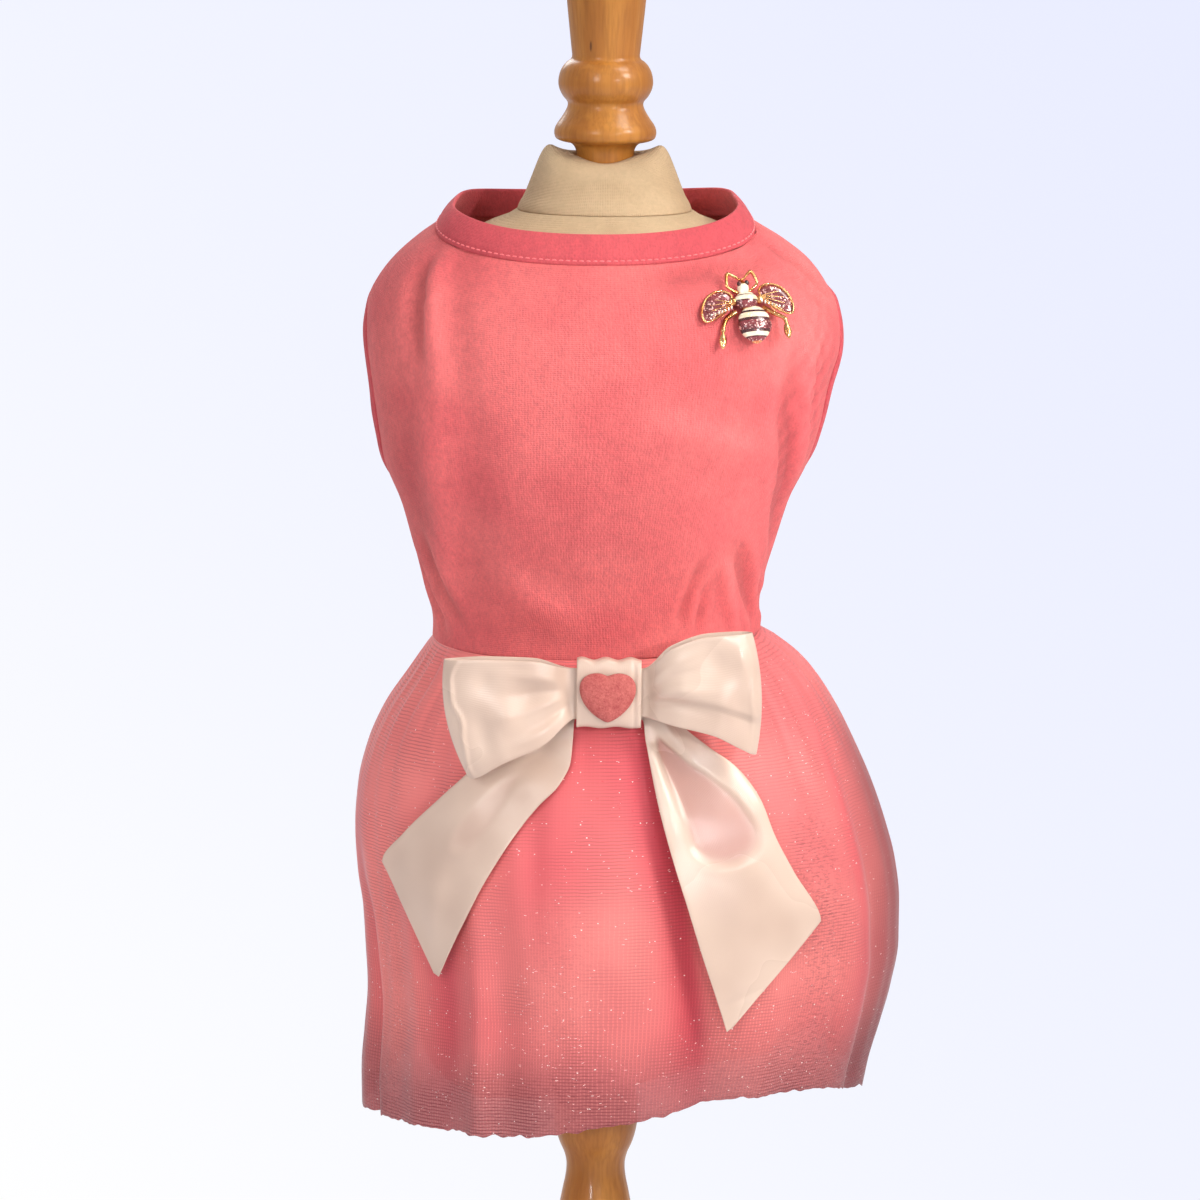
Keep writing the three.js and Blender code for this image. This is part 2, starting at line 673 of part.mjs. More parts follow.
// The narrow band wraps the gathered middles of the loops and the tails.
const bandTurns = 20;
const bandSteps = 2;
const bandBack = ribbonKnotDepth - ribbonLayer;
const bandFront = ribbonKnotDepth + 3 * ribbonLayer;
const bowBand = clothSheet({
  columns: bandTurns,
  rows: bandSteps,
  ring: true,
  wall: ribbonWall,
  pointAt: (i, j) => {
    const turn = (2 * Math.PI * i) / bandTurns;
    const soft = (value) => Math.sign(value) * Math.abs(value) ** 0.45;
    const halfDepth = (bandFront - bandBack) / 2;
    const halfHeight = (knot.top - knot.bottom) / 2;
    return new THREE.Vector3(
      lerp(knot.left, knot.right, j / bandSteps),
      -(bandBack + halfDepth + halfDepth * soft(Math.cos(turn))),
      knot.bottom + halfHeight + halfHeight * soft(Math.sin(turn)),
    );
  },
});
addPiece("bow_band", bowBand, satinCream);

// A padded heart of flock, glued on the band.
const heartOutline = new THREE.Shape();
const [hw, hh] = [heart.width / 2 - 1, heart.height - 2];
heartOutline.moveTo(0, -0.52 * hh);
heartOutline.bezierCurveTo(-0.5 * hw, -0.36 * hh, -hw, -0.1 * hh, -hw, 0.2 * hh);
heartOutline.bezierCurveTo(-hw, 0.52 * hh, -0.35 * hw, 0.6 * hh, 0, 0.36 * hh);
heartOutline.bezierCurveTo(0.35 * hw, 0.6 * hh, hw, 0.52 * hh, hw, 0.2 * hh);
heartOutline.bezierCurveTo(hw, -0.1 * hh, 0.5 * hw, -0.36 * hh, 0, -0.52 * hh);
const heartSolid = new THREE.ExtrudeGeometry(heartOutline, {
  depth: 1,
  curveSegments: 5,
  bevelEnabled: true,
  bevelThickness: (heart.thick - 1) / 2,
  bevelSize: 1,
  bevelSegments: 2,
});
heartSolid.rotateX(Math.PI / 2);
const heartPiece = addPiece("heart", heartSolid, flockCoral);
const heartBack = bandFront + ribbonWall / 2 + seamGap + (heart.thick - 1) / 2;
heartPiece.position.set(heart.x, -heartBack, heart.z);

// ---------------------------------------------------------------- bee brooch

// Modelled flat: x to its right, y towards its head, z out of the cloth.
const beeGroup = new THREE.Group();
const egg = (sizeX, sizeY, sizeZ, x, y, z) =>
  new THREE.SphereGeometry(1, 12, 6).scale(sizeX / 2, sizeY / 2, sizeZ / 2).translate(x, y, z);
const wire = (points, radius, steps) => {
  const outline = new THREE.Shape().absarc(0, 0, radius, 0, 2 * Math.PI);
  const path = new THREE.CatmullRomCurve3(points.map((point) => new THREE.Vector3(...point)));
  return new THREE.ExtrudeGeometry(outline, { extrudePath: path, steps, curveSegments: 3 });
};
const beeBody = joined([
  egg(11.8, 13.4, 6, 1.7, -5.8, 2.8),
  egg(8.2, 6.2, 5.4, -0.6, 2.9, 2.8),
  egg(4.6, 4.4, 3.8, -1.6, 7.6, 2.8),
  wire([[-2.4, 8.4, 2.6], [-3.4, 11.4, 2.8], [-6.6, 13.2, 3]], 0.5, 5),
  wire([[-1, 8.6, 2.6], [-0.4, 11.6, 2.8], [1.4, 13.6, 3]], 0.5, 5),
]);
addPiece("bee_body", beeBody, gold, beeGroup);
addPiece("bee_wing_left", egg(12.8, 9.2, 2.2, -11.8, 0.8, 2.8), wingEnamel, beeGroup);
addPiece("bee_wing_right", egg(12.8, 9.2, 2.2, 10.1, 3.8, 2.8), wingEnamel, beeGroup);
const legLeft = wire([[-4.3, -0.9, 1.3], [-8, -3.4, 1.2], [-9.6, -7.6, 1.5], [-10.4, -13, 1.8]], 0.8, 7);
const legRight = wire([[5, 0.4, 1.3], [8.6, -1.9, 1.2], [12.9, -4.4, 1.4], [12.5, -10, 1.8]], 0.8, 7);
addPiece("bee_leg_left", legLeft, gold, beeGroup);
addPiece("bee_leg_right", legRight, gold, beeGroup);
beeGroup.rotation.order = "ZXY";
beeGroup.rotation.set(rad(90 - bee.tip), rad(bee.roll), rad(bee.yaw));
const beeLift = 1.1;
const beeOut = new THREE.Vector3(0, 0, beeLift).applyEuler(beeGroup.rotation);
beeGroup.position.copy(bodicePoint(bee.angle, bee.up)).add(beeOut);
root.add(beeGroup);

// ---------------------------------------------------------------- dress form and stand

addPiece("form_torso", ringBody(torsoSections, 28), formBeige);
addPiece("form_neck", ringBody(neckSections, 28), formBeige);
addPiece("finial", turned(finialProfile, 16), honeyWood);
addPiece("post", turned(postProfile, 16), honeyWood);
addPiece("base", turned(baseProfile, 32), honeyWood);

export default root;
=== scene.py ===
import bisect
import math
import random
import bpy
from mathutils import Matrix, Vector, noise


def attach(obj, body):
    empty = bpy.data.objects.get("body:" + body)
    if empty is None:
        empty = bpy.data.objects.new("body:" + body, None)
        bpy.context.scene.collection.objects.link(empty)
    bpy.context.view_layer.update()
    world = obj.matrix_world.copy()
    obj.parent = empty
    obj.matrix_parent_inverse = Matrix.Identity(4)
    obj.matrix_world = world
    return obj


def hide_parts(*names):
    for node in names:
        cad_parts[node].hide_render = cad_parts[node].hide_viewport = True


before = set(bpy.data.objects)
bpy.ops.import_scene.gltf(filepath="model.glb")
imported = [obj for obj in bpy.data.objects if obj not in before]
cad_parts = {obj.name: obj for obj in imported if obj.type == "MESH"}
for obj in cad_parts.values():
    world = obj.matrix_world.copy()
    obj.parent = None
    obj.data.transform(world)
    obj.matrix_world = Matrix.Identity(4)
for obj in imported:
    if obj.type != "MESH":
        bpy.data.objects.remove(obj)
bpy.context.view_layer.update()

mm = 0.001
scene = bpy.context.scene

# The camera comes first, then the studio.
cameraView = {
    "target": (-0.0003, 0, 0.341),
    "distance": 2.4,
    "elevation": 8.5,
    "roll": 0.54,
    "lens": 208.7,
}


def makeCamera(view):
    tilt, roll = math.radians(view["elevation"]), math.radians(view["roll"])
    ahead = Vector((0, math.cos(tilt), -math.sin(tilt)))
    level = Vector((1, 0, 0))
    rise = Vector((0, math.sin(tilt), math.cos(tilt)))
    right = level * math.cos(roll) + rise * math.sin(roll)
    up = rise * math.cos(roll) - level * math.sin(roll)
    camera = bpy.data.objects.new("camera", bpy.data.cameras.new("camera"))
    scene.collection.objects.link(camera)
    camera.data.lens = view["lens"]
    camera.data.sensor_width = 36
    camera.data.clip_end = 100
    turn = Matrix((right, up, -ahead)).transposed().to_4x4()
    place = Vector(view["target"]) - ahead * view["distance"]
    camera.matrix_world = Matrix.Translation(place) @ turn
    scene.camera = camera


makeCamera(cameraView)
print("camera placed")


# Small sums.
def clamp(value, low=0.0, high=1.0):
    return min(max(value, low), high)


def lerp(a, b, t):
    return a + (b - a) * t


def smoothstep(value, low, high):
    t = clamp((value - low) / (high - low))
    return t * t * (3 - 2 * t)


def bell(distance, width):
    return math.exp(-((distance / width) ** 2))


def curveOf(rows, column, key=0):
    # a smooth curve through one column of a table, without overshoot
    rows = sorted(rows, key=lambda row: row[key])
    keys = [row[key] for row in rows]
    values = [row[column] for row in rows]
    last = len(rows) - 1
    slopes = [0.0] * (last + 1)
    for k in range(1, last):
        before = (values[k] - values[k - 1]) / (keys[k] - keys[k - 1])
        after = (values[k + 1] - values[k]) / (keys[k + 1] - keys[k])
        if before * after > 0:
            slopes[k] = 2 * before * after / (before + after)

    def at(place):
        place = clamp(place, keys[0], keys[last])
        i = int(clamp(bisect.bisect_right(keys, place) - 1, 0, last - 1))
        span = keys[i + 1] - keys[i]
        t = (place - keys[i]) / span
        pull = t * (1 - t) * ((1 - t) * slopes[i] - t * slopes[i + 1]) * span
        return lerp(values[i], values[i + 1], t * t * (3 - 2 * t)) + pull

    return at


def toLinear(red, green, blue):
    # a colour given as on a paint card, 0 to 255
    def channel(value):
        share = value / 255
        return share / 12.92 if share <= 0.04045 else ((share + 0.055) / 1.055) ** 2.4

    return (channel(red), channel(green), channel(blue), 1.0)


# Nodes for materials.
whole = (0.0, 1.0)


def join(tree, value, socket):
    # a plain value, or the output of another node
    if isinstance(value, bpy.types.NodeSocket):
        tree.links.new(value, socket)
    else:
        socket.default_value = value


def put(tree, kind, inputs=None, **settings):
    node = tree.nodes.new("ShaderNode" + kind)
    for key, value in settings.items():
        setattr(node, key, value)
    for key, value in (inputs or {}).items():
        join(tree, value, node.inputs[key])
    return node


def calc(tree, operation, *values):
    return put(tree, "Math", dict(enumerate(values)), operation=operation).outputs[0]


def times(tree, first, second):
    return calc(tree, "MULTIPLY", first, second)


def plus(tree, first, second):
    return calc(tree, "ADD", first, second)


def mixColour(tree, share, first, second, blend="MIX"):
    # each colour is an output of another node, or three numbers from 0 to 255
    first, second = (toLinear(*colour) if isinstance(colour, tuple) else colour for colour in (first, second))
    return put(tree, "Mix", {0: share, 6: first, 7: second}, data_type="RGBA", blend_type=blend).outputs[2]


def mapValue(tree, value, span, result=whole, steps="LINEAR"):
    inputs = {0: value, 1: span[0], 2: span[1], 3: result[0], 4: result[1]}
    return put(tree, "MapRange", inputs, interpolation_type=steps).outputs[0]


def noiseOf(tree, place, size, detail, roughness=0.5, distortion=0.0):
    inputs = {
        "Vector": place, "Scale": size, "Detail": detail, "Roughness": roughness, "Distortion": distortion,
    }
    return put(tree, "TexNoise", inputs).outputs[0]


def stretched(tree, place, factors):
    return put(tree, "VectorMath", {0: place, 1: factors}, operation="MULTIPLY").outputs[0]


def painted(tree, name):
    # the values painted on a piece's points, or 0 where it has none
    return put(tree, "Attribute", attribute_name=name).outputs["Fac"]


def newGroup(name, inputs, outputs):
    tree = bpy.data.node_groups.new(name, "ShaderNodeTree")
    for label, value in inputs:
        kind = "NodeSocketVector" if value is None else "NodeSocketFloat"
        socket = tree.interface.new_socket(label, in_out="INPUT", socket_type=kind)
        if value is not None:
            socket.default_value = value
    for label in outputs:
        tree.interface.new_socket(label, in_out="OUTPUT", socket_type="NodeSocketFloat")
    return tree, tree.nodes.new("NodeGroupInput").outputs, tree.nodes.new("NodeGroupOutput").inputs


def useGroup(tree, group, **inputs):
    node = tree.nodes.new("ShaderNodeGroup")
    node.node_tree = group
    for key, value in inputs.items():
        label = "".join(" " + c.lower() if c.isupper() else c for c in key).capitalize()
        join(tree, value, node.inputs[label])
    return node.outputs


def makeThreadGroup():
    # crossing threads of a woven, knitted or net cloth, laid out in metres of flat cloth
    tree, start, end = newGroup(
        "crossingThreads",
        [("Cloth", None), ("Across per metre", 800.0), ("Along per metre", 800.0),
         ("Thread share", 0.4), ("Wander", 0.2)],
        ["Threads", "Across", "Along"],
    )
    driftSize, coreShare = 260.0, 0.45
    drift = noiseOf(tree, start["Cloth"], driftSize, 1.0)
    shift = times(tree, calc(tree, "SUBTRACT", drift, 0.5), start["Wander"])
    axes = put(tree, "SeparateXYZ", {0: start["Cloth"]}).outputs
    lines = []
    for axis, count in ((0, "Across per metre"), (1, "Along per metre")):
        place = plus(tree, times(tree, axes[axis], start[count]), shift)
        middle = calc(tree, "ABSOLUTE", calc(tree, "SUBTRACT", calc(tree, "FRACT", place), 0.5))
        core = times(tree, start["Thread share"], coreShare)
        edges = (core, start["Thread share"])
        lines.append(mapValue(tree, times(tree, middle, 2.0), edges, (1.0, 0.0), "SMOOTHSTEP"))
    tree.links.new(calc(tree, "MAXIMUM", *lines), end["Threads"])
    tree.links.new(lines[0], end["Across"])
    tree.links.new(lines[1], end["Along"])
    return tree


def makeFuzzGroup():
    # short lint and speckle on the face of a cloth
    tree, start, end = newGroup(
        "clothFuzz", [("Place", None), ("Size", 1400.0), ("Stretch", 1.6)], ["Speckle", "Lint"]
    )
    patchScale, fineShare, patchShare, spread = 0.28, 0.6, 0.4, (0.36, 0.64)
    factors = put(tree, "CombineXYZ", {0: start["Stretch"], 1: 1.0, 2: 1.0}).outputs[0]
    place = stretched(tree, start["Place"], factors)
    fine = noiseOf(tree, place, start["Size"], 3.0, 0.65)
    patch = noiseOf(tree, place, times(tree, start["Size"], patchScale), 2.0, 0.6)
    both = plus(tree, times(tree, fine, fineShare), times(tree, patch, patchShare))
    tree.links.new(fine, end["Lint"])
    tree.links.new(mapValue(tree, both, spread), end["Speckle"])
    return tree


def makeToneGroup():
    # slow change of tone over a surface, from dye, handling and wear
    tree, start, end = newGroup("slowTone", [("Place", None), ("Size", 22.0)], ["Tone"])
    spread = (0.32, 0.68)
    cloud = noiseOf(tree, start["Place"], start["Size"], 2.0)
    tree.links.new(mapValue(tree, cloud, spread, steps="SMOOTHSTEP"), end["Tone"])
    return tree


def makeFleckGroup():
    # small bright flakes scattered at random, as in glitter enamel
    tree, start, end = newGroup(
        "glitterFlecks", [("Place", None), ("Size", 2600.0), ("Share", 0.2)], ["Flecks", "Tilt"]
    )
    cells = put(tree, "TexVoronoi", {"Vector": start["Place"], "Scale": start["Size"]})
    chance = put(tree, "SeparateColor", {0: cells.outputs["Color"]}).outputs
    tree.links.new(calc(tree, "LESS_THAN", chance[0], start["Share"]), end["Flecks"])
    tree.links.new(chance[1], end["Tilt"])
    return tree


def makeGrainGroup():
    # long wood grain that runs along the stand's axis
    tree, start, end = newGroup("woodGrain", [("Place", None), ("Rings", 60.0)], ["Grain", "Pores"])
    grainSpread, poreSpread, poreSize = (0.3, 0.7), (0.42, 0.66), 900.0
    long = stretched(tree, start["Place"], (1.0, 1.0, 0.09))
    bend = noiseOf(tree, long, start["Rings"], 3.0, 0.55, 0.7)
    thin = stretched(tree, start["Place"], (1.0, 1.0, 0.03))
    pores = noiseOf(tree, thin, poreSize, 2.0)
    tree.links.new(mapValue(tree, bend, grainSpread, steps="SMOOTHSTEP"), end["Grain"])
    tree.links.new(mapValue(tree, pores, poreSpread), end["Pores"])
    return tree


threadGroup = makeThreadGroup()
fuzzGroup = makeFuzzGroup()
toneGroup = makeToneGroup()
fleckGroup = makeFleckGroup()
grainGroup = makeGrainGroup()


def newMaterial(name, **values):
    # values go straight on the shader's own sockets, and wire joins a node to one of them
    material = bpy.data.materials.new(name)
    material.use_nodes = True
    tree = material.node_tree
    sockets = tree.nodes["Principled BSDF"].inputs
    labels = {socket.name.replace(" ", ""): socket.name for socket in sockets}
    for key, value in values.items():
        sockets[labels[key]].default_value = value

    def wire(label, output):
        tree.links.new(output, sockets[label])

    return material, tree, wire


def addBump(tree, wire, height, distance, strength, below=None):
    inputs = {"Height": height, "Distance": distance, "Strength": strength}
    if below is not None:
        inputs["Normal"] = below
    bump = put(tree, "Bump", inputs).outputs[0]
    wire("Normal", bump)
    return bump


def clothPlace(tree):
    return put(tree, "UVMap", uv_map="cloth").outputs[0]


def objectPlace(tree):
    return put(tree, "TexCoord").outputs["Object"]


def toneOf(tree, size):
    return useGroup(tree, toneGroup, place=objectPlace(tree), size=size)["Tone"]


def fuzzOf(tree, size, stretch=1.0):
    return useGroup(tree, fuzzGroup, place=objectPlace(tree), size=size, stretch=stretch)


def threadsOf(tree, flat, look):
    return useGroup(tree, threadGroup, cloth=flat, acrossPerMetre=look["across"], alongPerMetre=look["along"],
                    threadShare=look["threadShare"], wander=look["wander"])


def clothMaterial(name, look):
    # matt cloth of crossing threads with lint and a slow change of tone
    material, tree, wire = newMaterial(
        name,
        SheenWeight=look["sheen"],
        SheenRoughness=look["sheenWidth"],
        SheenTint=toLinear(*look["sheenTint"]),
        SpecularIORLevel=look["gloss"],
    )
    threads = threadsOf(tree, clothPlace(tree), look)
    fuzz = fuzzOf(tree, look["fuzz"], look["stretch"])
    dyed = mixColour(tree, toneOf(tree, look["toneSize"]), look["deep"], look["light"])
    speckled = mapValue(tree, fuzz["Speckle"], whole, (1.0 - look["speckle"], 1.0 + look["speckle"]))
    # painted light and shade from the values on the piece's points: above 0 darker, below 0 lighter
    paintedShade = times(tree, painted(tree, "paintedShade"), look["paintedShade"])
    shade = times(tree, speckled, calc(tree, "SUBTRACT", 1.0, paintedShade))
    grey = put(tree, "CombineColor", {0: shade, 1: shade, 2: shade}).outputs[0]
    wire("Base Color", mixColour(tree, 1.0, dyed, grey, "MULTIPLY"))
    wire("Roughness", mapValue(tree, fuzz["Lint"], (0.3, 0.7), look["rough"]))
    weave = times(tree, plus(tree, threads["Across"], threads["Along"]), look["weave"])
    height = plus(tree, weave, times(tree, fuzz["Lint"], look["lint"]))
    addBump(tree, wire, height, look["height"], look["relief"])
    return material


jerseyLook = {
    "deep": (214, 98, 100), "light": (228, 115, 113), "toneSize": 22.0, "speckle": 0.12, "paintedShade": 0.3,
    "sheen": 0.2, "sheenWidth": 0.4, "sheenTint": (255, 206, 200), "gloss": 0.15, "rough": (0.79, 0.91),
    "across": 1150.0, "along": 1500.0, "threadShare": 0.9, "wander": 0.5, "weave": 0.2,
    "fuzz": 900.0, "stretch": 1.5, "lint": 1.5, "height": 0.0004, "relief": 0.7,
}
bandLook = dict(
    jerseyLook, deep=(200, 82, 89), light=(212, 92, 97), across=1700.0, along=1900.0, weave=0.12, lint=1.1,
)
liningLook = dict(
    jerseyLook, deep=(222, 108, 108), light=(236, 122, 118), sheen=0.1, gloss=0.3, across=2400.0,
    along=2600.0, fuzz=700.0, toneSize=18.0, speckle=0.02, rough=(0.54, 0.66), lint=0.3, relief=0.25,
)
formLook = dict(
    jerseyLook, deep=(192, 163, 128), light=(206, 178, 142), sheen=0.1, sheenTint=(255, 240, 220),
    across=1500.0, fuzz=700.0, stretch=1.0, toneSize=30.0, speckle=0.06, rough=(0.86, 0.98), weave=0.8,
    lint=0.4, relief=0.5, paintedShade=0.0,
)


def netMaterial(look):
    # glitter net: crossing threads, the paler layers of net behind them, its crumpled places, and painted
    # shade in its folds, below the knot, on its sides and at its hem
    material, tree, wire = newMaterial(
        "glitterNet", SpecularIORLevel=0.35, SheenWeight=0.2, SheenRoughness=0.3,
    )
    flat = clothPlace(tree)
    mesh = threadsOf(tree, flat, look)
    flecks = useGroup(
        tree, fleckGroup, place=flat, size=look["fleckSize"], share=look["fleckShare"],
    )["Flecks"]
    down = put(tree, "SeparateXYZ", {0: flat}).outputs[1]
    single = mapValue(tree, down, look["hem"], (0.0, look["single"]), "SMOOTHSTEP")
    body = mixColour(tree, toneOf(tree, look["toneSize"]), look["layers"], look["layersLight"])
    # painted shade: deeper red in the troughs of the folds and in the bow's shadow below the knot
    body = mixColour(tree, painted(tree, "fold"), body, look["trough"])
    # darker at the hem, where the single net shows its own colour and painted shade of the dark inside seen
    # through it
    body = mixColour(tree, single, body, look["hemLayer"])
    # painted shade on the outer sides and at the hem, partly also the darker net where it lies in many layers
    body = mixColour(tree, painted(tree, "dusk"), body, look["dusk"])
    # the level threads show most; both show best at the hem, where no lining is behind
    level = times(tree, mesh["Along"], mapValue(tree, toneOf(tree, look["patchSize"]), whole, look["level"]))
    upright = times(tree, mesh["Across"], look["upright"])
    strength = mapValue(tree, down, look["hem"], (1.0, look["hemContrast"]))
    meshed = times(tree, calc(tree, "MAXIMUM", level, upright), strength)
    # short level dents where the net is crumpled, darkened with painted shade and sunk in the bump
    dents = noiseOf(tree, stretched(tree, flat, look["dent"]), 1.0, 2.0, 0.6, 0.8)
    dent = times(tree, mapValue(tree, dents, look["dentSpread"]), painted(tree, "crumple"))
    both = plus(tree, meshed, times(tree, dent, look["dentShade"]))
    dyed = mixColour(tree, calc(tree, "MINIMUM", both, look["most"]), body, look["thread"])
    wire("Base Color", mixColour(tree, times(tree, flecks, mesh["Along"]), dyed, look["fleck"]))
    wire("Roughness", mapValue(tree, flecks, whole, look["rough"]))
    dense = mapValue(tree, down, look["openOver"], look["dense"])
    wire("Alpha", calc(tree, "MAXIMUM", mesh["Threads"], dense))
    raised = times(tree, mesh["Threads"], mapValue(tree, down, look["reliefOver"], look["threadRelief"]))
    height = calc(tree, "SUBTRACT", raised, times(tree, dent, look["dentRelief"]))
    addBump(tree, wire, height, look["height"], look["relief"])
    return material


netLook = {
    "across": 760.0, "along": 830.0, "threadShare": 0.46, "wander": 0.5, "toneSize": 14.0, "patchSize": 46.0,
    "layers": (226, 112, 112), "layersLight": (244, 138, 131), "trough": (213, 76, 87),
    "hemLayer": (186, 108, 107), "dusk": (140, 70, 72), "thread": (138, 60, 64), "fleck": (255, 236, 230),
    "fleckSize": 2300.0, "fleckShare": 0.006, "level": (0.096, 0.432), "upright": 0.0288, "most": 0.96,
    "hem": (0.13, 0.165), "single": 0.8, "hemContrast": 2.4, "rough": (0.5, 0.25),
    "dent": (420.0, 1500.0, 1.0), "dentSpread": (0.5, 0.63), "dentShade": 0.42, "dentRelief": 2.0,
    "openOver": (0.07, 0.15), "dense": (0.96, 0.76), "reliefOver": (0.078, 0.165),
    "threadRelief": (0.15, 1.0), "height": 0.0003, "relief": 0.45,
}


def satinMaterial(look):
    material, tree, wire = newMaterial(
        "satin", SpecularIORLevel=0.65, Anisotropic=0.45, SheenWeight=0.15, SheenRoughness=0.3,
        SheenTint=toLinear(255, 235, 220),
    )
    threads = threadsOf(tree, clothPlace(tree), look)
    tone = toneOf(tree, look["toneSize"])
    plain = mixColour(tree, tone, look["deep"], look["light"])
    # painted shade and painted reflection: a pinkish grey in the hollows of the tails that lie on the skirt
    wire("Base Color", mixColour(tree, painted(tree, "lying"), plain, look["through"]))
    wire("Roughness", mapValue(tree, tone, whole, look["rough"]))
    # slow soft unevenness from handling, under the fine threads
    handled = noiseOf(tree, objectPlace(tree), look["handledSize"], 1.0)
    soft = addBump(tree, wire, handled, look["handledHeight"], look["handled"])
    addBump(tree, wire, threads["Along"], look["height"], look["relief"], soft)
    return material


satinLook = {
    "deep": (198, 170, 152), "light": (218, 192, 173), "through": (184, 133, 121), "toneSize": 24.0,
    "rough": (0.34, 0.26), "across": 2600.0, "along": 1600.0, "threadShare": 0.9, "wander": 0.15,
    "handledSize": 64.0, "handledHeight": 0.003, "handled": 0.3, "height": 0.00008, "relief": 0.2,
}


def flockMaterial(look):
    material, tree, wire = newMaterial(
        "flock", SheenWeight=0.6, SheenRoughness=0.35, SheenTint=toLinear(255, 170, 160),
        SpecularIORLevel=0.1, Roughness=0.95,
    )
    fuzz = fuzzOf(tree, look["size"])
    wire("Base Color", mixColour(tree, fuzz["Speckle"], look["deep"], look["light"]))
    addBump(tree, wire, fuzz["Lint"], look["height"], look["relief"])
    return material


flockLook = {"size": 1500.0, "deep": (176, 84, 81), "light": (206, 116, 109), "height": 0.0006, "relief": 0.8}


def woodMaterial(name, look, lying=False):
    # varnished wood, with the grain along the stand's axis or, in the flat base, across it
    material, tree, wire = newMaterial(name, CoatRoughness=0.16, SpecularIORLevel=0.25)
    place = objectPlace(tree)
    if lying:
        x, y, z = put(tree, "SeparateXYZ", {0: place}).outputs
        place = put(tree, "CombineXYZ", {0: z, 1: y, 2: x}).outputs[0]
    grain = useGroup(tree, grainGroup, place=place, rings=look["rings"])
    tone = useGroup(tree, toneGroup, place=place, size=look["toneSize"])["Tone"]
    colour = mixColour(tree, grain["Grain"], look["deep"], look["light"])
    colour = mixColour(tree, times(tree, tone, look["warmShare"]), colour, look["warm"])
    colour = mixColour(tree, times(tree, grain["Pores"], look["poreShare"]), colour, look["pore"])
    # one short dark mark in the finial
    away = put(tree, "VectorMath", {0: place, 1: look["mark"]}, operation="SUBTRACT").outputs[0]
    narrow = stretched(tree, away, look["markSlim"])
    near = put(tree, "VectorMath", {0: narrow}, operation="LENGTH").outputs["Value"]
    mark = mapValue(tree, near, look["markOver"], (look["markShare"], 0.0), "SMOOTHSTEP")
    wire("Base Color", mixColour(tree, mark, colour, look["markTone"]))
    wire("Roughness", mapValue(tree, grain["Grain"], whole, look["rough"]))
    wire("Coat Weight", mapValue(tree, tone, whole, look["varnish"]))
    addBump(tree, wire, grain["Pores"], look["height"], look["relief"])
    return material


woodLook = {
    "rings": 95.0, "toneSize": 30.0, "deep": (160, 98, 34), "light": (200, 138, 62), "warm": (190, 116, 44),
    "warmShare": 0.35, "pore": (120, 70, 26), "poreShare": 0.22, "rough": (0.46, 0.36), "varnish": (0.2, 0.4),
    "mark": (-0.0052, -0.0115, 0.5325), "markOver": (0.00025, 0.0005), "markSlim": (1.0, 0.2, 0.2),
    "markTone": (84, 48, 20), "markShare": 0.8, "height": 0.0002, "relief": 0.15,
}


def goldMaterial(look):
    material, tree, wire = newMaterial("giltMetal", Metallic=1.0)
    fuzz = fuzzOf(tree, look["fuzz"])
    wire("Base Color", mixColour(tree, toneOf(tree, look["toneSize"]), look["deep"], look["light"]))
    wire("Roughness", mapValue(tree, fuzz["Speckle"], whole, look["rough"]))
    addBump(tree, wire, fuzz["Lint"], look["height"], look["relief"])
    return material


goldLook = {
    "toneSize": 240.0, "fuzz": 1800.0, "deep": (206, 128, 74), "light": (250, 208, 146), "rough": (0.16, 0.3),
    "height": 0.00006, "relief": 0.5,
}


def enamelMaterial(name, look):
    # lacquer with flakes under a clear coat
    material, tree, wire = newMaterial(name, CoatWeight=0.9, CoatRoughness=0.06)
    flecks = useGroup(
        tree, fleckGroup, place=objectPlace(tree), size=look["fleckSize"], share=look["fleckShare"],
    )
    base = mixColour(tree, toneOf(tree, look["toneSize"]), look["deep"], look["light"])
    wire("Base Color", mixColour(tree, flecks["Flecks"], base, look["fleck"]))
    wire("Metallic", times(tree, flecks["Flecks"], look["fleckMetal"]))
    wire("Roughness", mapValue(tree, flecks["Tilt"], whole, look["rough"]))
    addBump(tree, wire, flecks["Tilt"], look["height"], look["relief"])
    return material


maroonLook = {
    "deep": (96, 26, 32), "light": (136, 48, 54), "fleck": (240, 190, 182), "fleckSize": 2200.0,
    "fleckShare": 0.16, "fleckMetal": 0.8, "toneSize": 300.0, "rough": (0.2, 0.42), "height": 0.00012,
    "relief": 0.7,
}
creamLook = dict(
    maroonLook, deep=(236, 214, 176), light=(252, 238, 210), fleck=(255, 250, 232), fleckSize=2000.0,
    fleckShare=0.1, fleckMetal=0.1, relief=0.1,
)
darkLook = dict(
    maroonLook, deep=(48, 12, 14), light=(84, 24, 26), fleck=(140, 60, 60), fleckSize=2600.0,
    fleckShare=0.05, fleckMetal=0.3, relief=0.1,
)
amberLook = dict(
    maroonLook, deep=(214, 112, 62), light=(240, 146, 88), fleck=(255, 206, 150), fleckSize=2400.0,
    fleckShare=0.12, fleckMetal=0.6, relief=0.2,
)


def sparkMaterial(name, look):
    # the flakes glow a little, with no lamp in them: painted glints
    material, tree, wire = newMaterial(name, Metallic=look["metal"], EmissionStrength=look["glow"])
    tone = toneOf(tree, look["toneSize"])
    lit = mixColour(tree, tone, look["deep"], look["light"])
    wire("Base Color", lit)
    wire("Emission Color", lit)
    wire("Roughness", mapValue(tree, tone, whole, look["rough"]))
    return material


glitterLook = {
    "metal": 0.3, "glow": 0.35, "toneSize": 900.0, "deep": (255, 196, 190), "light": (255, 250, 244),
    "rough": (0.3, 0.15),
}
# the crystals also glow a little: painted glints
crystalLook = dict(
    glitterLook, metal=0.9, glow=0.1, toneSize=700.0, deep=(214, 196, 180), light=(255, 250, 240),
)


